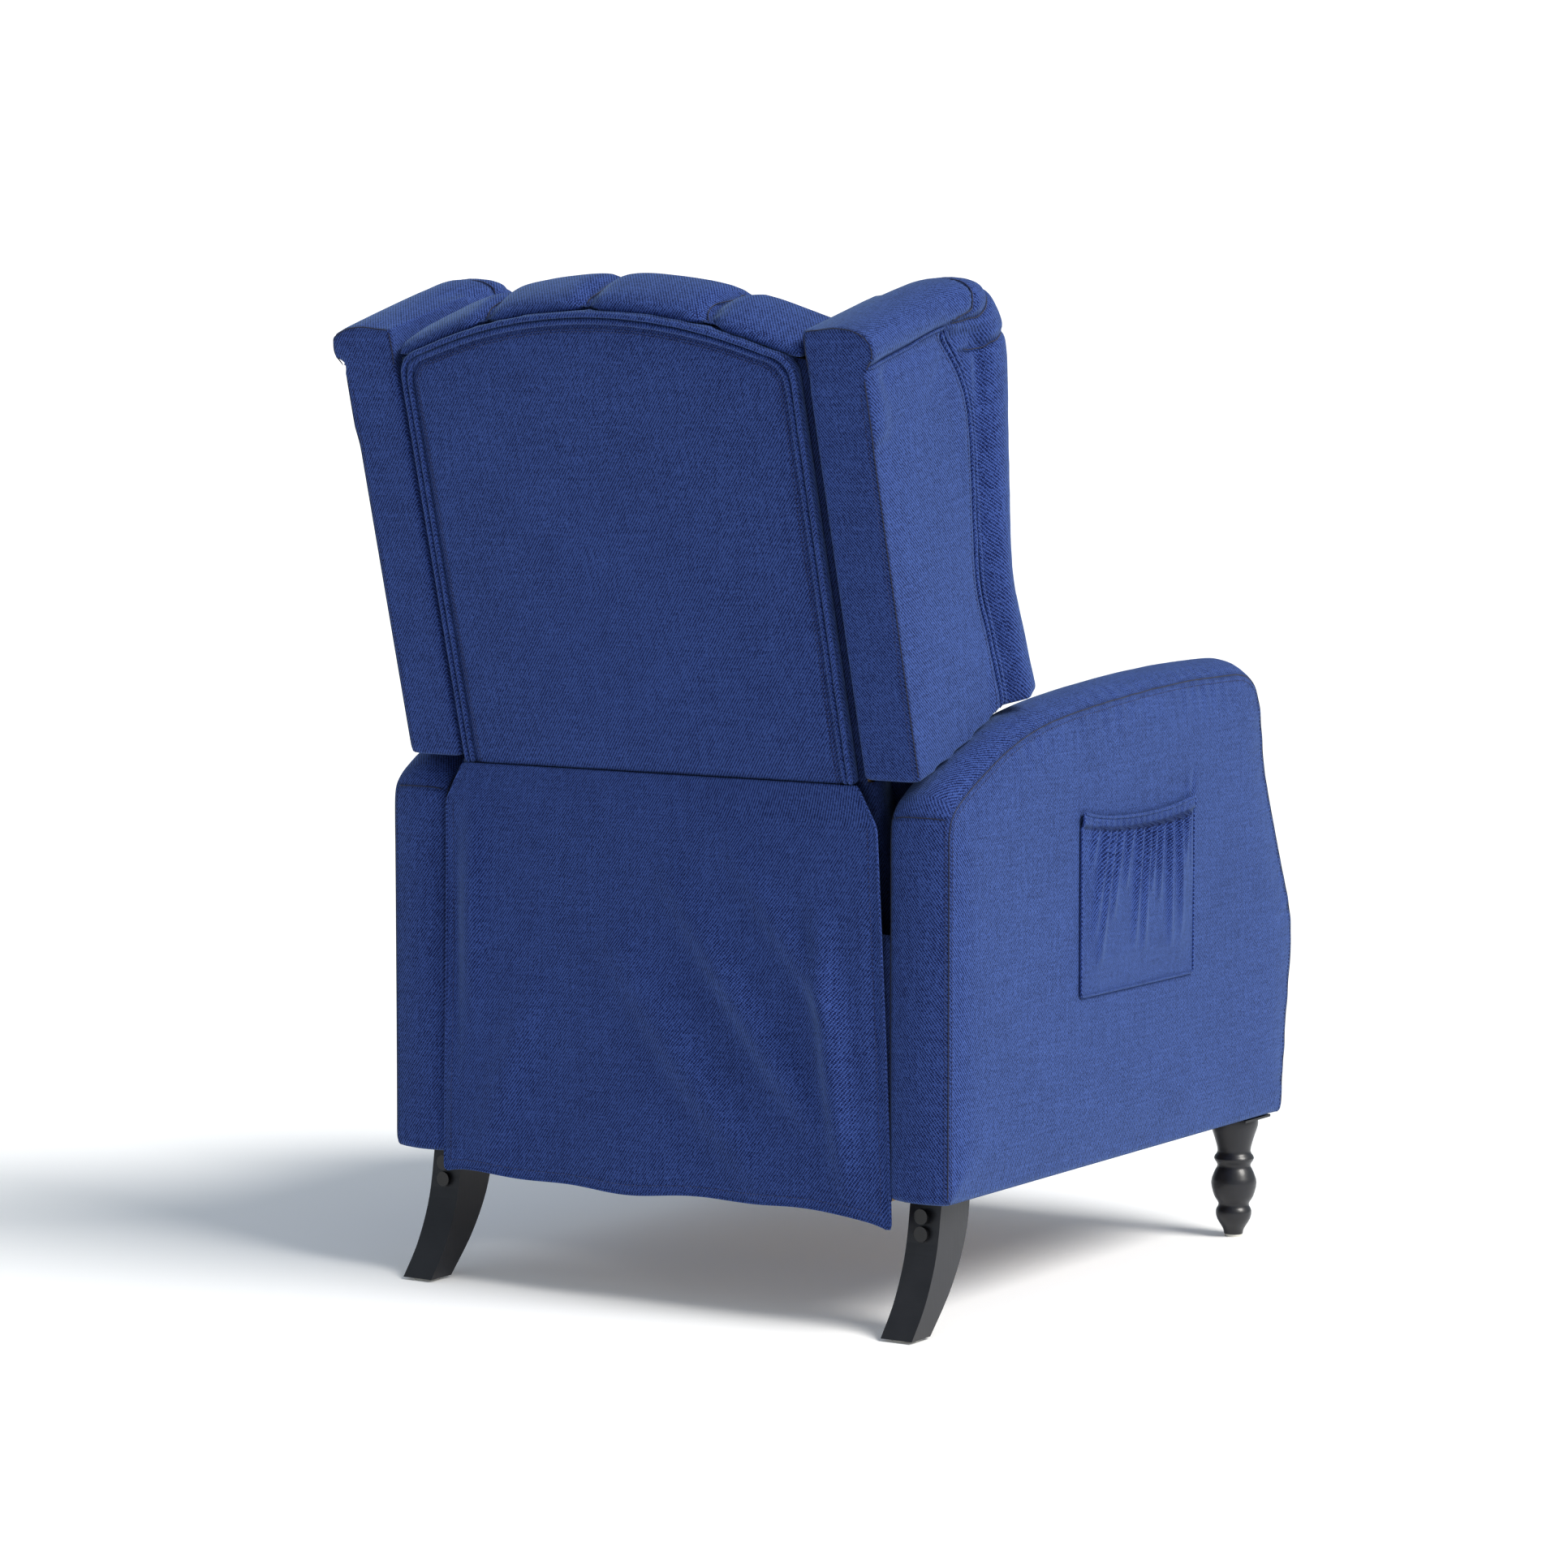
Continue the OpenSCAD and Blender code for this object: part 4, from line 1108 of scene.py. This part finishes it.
def makePocket():
    nx, nz = pocket["steps"]
    (y0, y1), (z0, z1) = pocket["y"], pocket["z"]
    hemShare = pocket["hem"] / (z1 - z0)
    grid = np.zeros((nz + 1, nx + 1, 3))
    for j in range(nz + 1):
        for i in range(nx + 1):
            a, b = i / nx, j / nz
            sag = 7 * mm * math.sin(math.pi * a) * b ** 3 - 5 * mm * abs(2 * a - 1) ** 5 * b ** 3
            y, z = y0 + (y1 - y0) * a, z0 + (z1 - z0) * b - sag
            off = pocketDepth(a, min(b, 1 - hemShare))
            side = min(1.0, math.sin(math.pi * a) * 2.4)
            if b > 1 - hemShare:  # the hem pulls in and carries small puckers
                off = 4.4 * mm + 0.5 * mm * math.sin(120 * a) * side
            grid[j, i] = (armFaceX(y, z) - off, y, z)
    obj = gridSheet("sidePocket", grid)
    if np.mean([p.normal.x for p in obj.data.polygons]) > 0:
        obj.data.flip_normals()
    layFlat(obj, nx + 1, lambda i, j: (i / nx * pocket["map"][0], j / nz * pocket["map"][1]))
    row = np.arange(len(obj.data.vertices)) // (nx + 1) / nz
    # painted shade in a thin band along the lower edge of the hem
    setPaintedShade(obj, 1.4 * bell(row - (1 - hemShare), 0.010))
    thicken(obj, 1.6 * mm)
    dress(obj, cloth)
    rim = np.vstack([grid[::-1, 0], grid[0, 1:], grid[1:, -1]]) + np.array([-0.8 * mm, 0, 0])
    edge = tubes("pocketEdge", [resample(roundedPath(rim, 1), 3 * mm)], 1.7 * mm)
    dress(edge, cloth, slope=0)
    top = tubes("pocketHem", [resample(grid[-1] + np.array([-0.2 * mm, 0, 0]), 3 * mm)], 2.0 * mm)
    dress(top, cloth, slope=0)
    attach(edge, "base")
    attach(top, "base")
    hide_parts("side_pocket", "pocket_hem")
    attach(obj, "base")


makePocket()
print("flap and pocket made")


# ---- stitches and springs by geometry nodes
def geometryTree(name, inputs):
    tree = bpy.data.node_groups.new(name, "GeometryNodeTree")
    tree.interface.new_socket("Geometry", in_out="INPUT", socket_type="NodeSocketGeometry")
    for label, kind, value in inputs:
        tree.interface.new_socket(label, in_out="INPUT", socket_type=kind).default_value = value
    tree.interface.new_socket("Geometry", in_out="OUTPUT", socket_type="NodeSocketGeometry")
    source, end = tree.nodes.new("NodeGroupInput"), tree.nodes.new("NodeGroupOutput")

    def add(kind, settings=None, inputs=None):
        return addNode(tree, kind, settings, inputs)

    return tree, source, end, add


def product(add, a, b):
    return add("ShaderNodeMath", {"operation": "MULTIPLY"}, {0: a, 1: b}).outputs[0]


def finishTree(tree, end, add, laid, material):
    real = add("GeometryNodeRealizeInstances", None, {"Geometry": laid.outputs[0]})
    painted = add("GeometryNodeSetMaterial", None, {"Geometry": real.outputs[0], "Material": material})
    tree.links.new(painted.outputs[0], end.inputs[0])
    return tree


def stitchTree():
    tree, source, end, add = geometryTree("stitchRow", [
        ("Spacing", "NodeSocketFloat", 4.4 * mm), ("Stitch Length", "NodeSocketFloat", 3.1 * mm),
        ("Thread Radius", "NodeSocketFloat", 0.55 * mm)])
    spots = add("GeometryNodeCurveToPoints", {"mode": "LENGTH"}, {
        "Curve": source.outputs["Geometry"], "Length": source.outputs["Spacing"]})
    turn = add("FunctionNodeAlignRotationToVector", {"axis": "Z"}, {"Vector": spots.outputs["Tangent"]})
    bead = add("GeometryNodeMeshUVSphere", None, {"Segments": 6, "Rings": 4, "Radius": 1.0})
    size = add("ShaderNodeCombineXYZ", None, {0: source.outputs["Thread Radius"],
                                              1: source.outputs["Thread Radius"],
                                              2: product(add, source.outputs["Stitch Length"], 0.5)})
    laid = add("GeometryNodeInstanceOnPoints", None, {
        "Points": spots.outputs["Points"], "Instance": bead.outputs["Mesh"], "Rotation": turn.outputs[0],
        "Scale": size.outputs[0]})
    return finishTree(tree, end, add, laid, thread)


def throughTree(name, carrier, tree, values, body):
    mod = carrier.modifiers.new("nodes", "NODES")
    mod.node_group = tree
    sockets = {item.name: item.identifier for item in tree.interface.items_tree if item.in_out == "INPUT"}
    for label, value in values.items():
        mod[sockets[label]] = value
    mesh = evaluated(carrier)
    mesh.name = name
    obj = addObject(name, mesh)
    bpy.data.objects.remove(carrier)
    obj.data.shade_smooth()
    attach(obj, body)
    return obj


def stitches(name, body, paths):
    data = bpy.data.curves.new(name + "Path", "CURVE")
    data.dimensions = "3D"
    for path in paths:
        spline = data.splines.new("POLY")
        spline.points.add(len(path) - 1)
        spline.points.foreach_set("co", np.hstack([path, np.ones((len(path), 1))]).ravel())
    carrier = addObject(name + "Path", data)
    throughTree(name, carrier, stitchRow, {"Spacing": 4.4 * mm}, body)


def laidRow(surface, path, lift=0.25 * mm):
    return laidOn(surface, resample(path, 3 * mm), lift)[0]


def seamShadowLines(name, body, laid):  # a thin dark cord laid along a seam: a painted shadow line where two cloths are sewn together
    obj = tubes(name, laid, 0.6 * mm, 6, seamShade)
    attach(obj, body)


def seamRow(surface, path):
    path, normal = laidOn(surface, resample(path, 3 * mm))
    return roundedPath(path, 8)[2:-2] + normal[2:-2] * 0.1 * mm


armLines = [seamRow(armSurface, p) for p in (armSeamOut, armSeamIn, armRearSeam)]
seamShadowLines("armSeamShadows", "base", armLines + [flipX(p) for p in armLines])
wingLines = [seamRow(wingSurface, p) for p in (wingRearEdge, wingEnd, *wingFans)]
backLines = [seamRow(cushionSurface, p) for p in pleatPaths + tuftPaths + [lumbar]]
seamShadowLines("backSeamShadows", "back", wingLines + [flipX(p) for p in wingLines] + backLines)

stitchRow = stitchTree()
insetLine = armPath.copy()
tangent = np.gradient(insetLine, axis=0)
tangent /= np.linalg.norm(tangent, axis=1)[:, None]
insetLine = insetLine - np.stack([-tangent[:, 1], tangent[:, 0]], 1) * arm["stitchIn"]
rowsLeft = [laidRow(armSurface, atX(halfW, insetLine))]
rearRow = [(halfW - 7 * mm, rearY, z) for z in np.linspace(legH + 4 * mm, rearSeamZ - 4 * mm, 60)]
rowsLeft += [laidRow(armSurface, rearRow)]
rowsRight = [flipX(r) for r in rowsLeft]
stitches("armStitches", "base", rowsLeft + rowsRight)
backRows = [laidRow(outsideSurface, backRim(18 * mm, -9 * mm)),
            laidRow(outsideSurface, backRim(21 * mm, -9 * mm))]
wingRow = laidRow(wingSurface, wingFront(14 * mm))
wingRearRow = laidRow(wingSurface, [onBack(wingOut - 6 * mm, -4 * mm, u)
                                    for u in np.linspace(*wing["rearStitch"], 60)])
stitches("backStitches", "back", backRows + [wingRow, flipX(wingRow), wingRearRow, flipX(wingRearRow)])
nx, nz = flap["steps"]
flapSurface = surfaceOf(rearFlap)
hemX, hemZ = 2, nz - 2
hemRow = np.vstack([flapGrid[10:hemZ, hemX], flapGrid[hemZ, hemX:nx - hemX],
                    flapGrid[hemZ:10:-1, nx - hemX]])
hemRow = laidOn(flapSurface, resample(hemRow + np.array([0, 6 * mm, 0]), 3 * mm), 0.2 * mm)[0]
stitches("flapStitches", "flap", [hemRow])

# ---- sinuous springs under the seat
spring = {"count": 5, "waves": 11, "swing": 17 * mm, "wire": 1.8 * mm}


def springTree():
    tree, source, end, add = geometryTree("springRow", [
        ("Count", "NodeSocketInt", 5), ("Spacing", "NodeSocketFloat", 0.1),
        ("Waves", "NodeSocketFloat", 11.0),
        ("Swing", "NodeSocketFloat", 0.017), ("Wire Radius", "NodeSocketFloat", 0.0018),
        ("Start", "NodeSocketVector", (0, 0, 0)), ("End", "NodeSocketVector", (0, 1, 0))])
    line = add("GeometryNodeCurvePrimitiveLine", None,
               {"Start": source.outputs["Start"], "End": source.outputs["End"]})
    fineLine = add("GeometryNodeResampleCurve", None, {"Curve": line.outputs[0], "Count": 200})
    along = add("GeometryNodeSplineParameter")
    turns = product(add, along.outputs["Factor"], source.outputs["Waves"])
    wave = add("ShaderNodeMath", {"operation": "SINE"}, {0: product(add, turns, 2 * math.pi)})
    offset = add("ShaderNodeCombineXYZ", None, {0: product(add, wave.outputs[0], source.outputs["Swing"])})
    bent = add("GeometryNodeSetPosition", None,
               {"Geometry": fineLine.outputs[0], "Offset": offset.outputs[0]})
    ring = add("GeometryNodeCurvePrimitiveCircle", None,
               {"Resolution": 8, "Radius": source.outputs["Wire Radius"]})
    wire = add("GeometryNodeCurveToMesh", None, {"Curve": bent.outputs[0], "Profile Curve": ring.outputs[0],
                                                 "Fill Caps": True})
    step = add("ShaderNodeCombineXYZ", None, {0: source.outputs["Spacing"]})
    row = add("GeometryNodeMeshLine", {"mode": "OFFSET"},
              {"Count": source.outputs["Count"], "Offset": step.outputs[0]})
    laid = add("GeometryNodeInstanceOnPoints", None,
               {"Points": row.outputs[0], "Instance": wire.outputs[0]})
    return finishTree(tree, end, add, laid, wireSteel)


springLow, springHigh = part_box("seat_springs")
firstX = springLow[0] + spring["swing"] + spring["wire"]
lastX = springHigh[0] - spring["swing"] - spring["wire"]
middleZ = (springLow[2] + springHigh[2]) / 2
carrier = newObject("springSeed", [(0, 0, 0)], [])
springs = throughTree("seatSprings", carrier, springTree(), {
    "Count": spring["count"], "Spacing": (lastX - firstX) / (spring["count"] - 1),
    "Waves": float(spring["waves"]),
    "Swing": spring["swing"], "Wire Radius": spring["wire"], "Start": (firstX, springLow[1], middleZ),
    "End": (firstX, springHigh[1], middleZ)}, "seat")
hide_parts("seat_springs")
print("stitches and springs made")

# ---- finishes on the pieces that keep their CAD shape
finishes = {"timber": timber, "black_lacquer": lacquer, "pale_plastic": plastic, "zinc_bolts": zinc,
            "black_steel": glossSteel, "dark_steel": satinSteel, "spring_steel": wireSteel,
            "blue_fabric": cloth}
edges = {"timber": 1.2 * mm, "black_lacquer": 1.4 * mm, "dark_steel": 0.4 * mm}
for row in frame["record"]["subparts"]:
    obj, slotName = cadNodes[row["node"]], row["material_slot"]
    if obj.hide_render:
        continue
    for s in obj.material_slots:
        s.material = finishes[slotName]
    if slotName in edges:
        merge = obj.modifiers.new("merge", "WELD")
        merge.merge_threshold = 1e-5
        soft = obj.modifiers.new("soft", "BEVEL")
        soft.width, soft.segments = edges[slotName], 2
        soft.limit_method, soft.angle_limit = "ANGLE", math.radians(38)

half = studio["floor"]
floor = newObject("floor", [(-half, -half, 0), (half, -half, 0), (half, half, 0), (-half, half, 0)],
                  [(0, 1, 2, 3)], makeFloorFinish())
print("chair done")
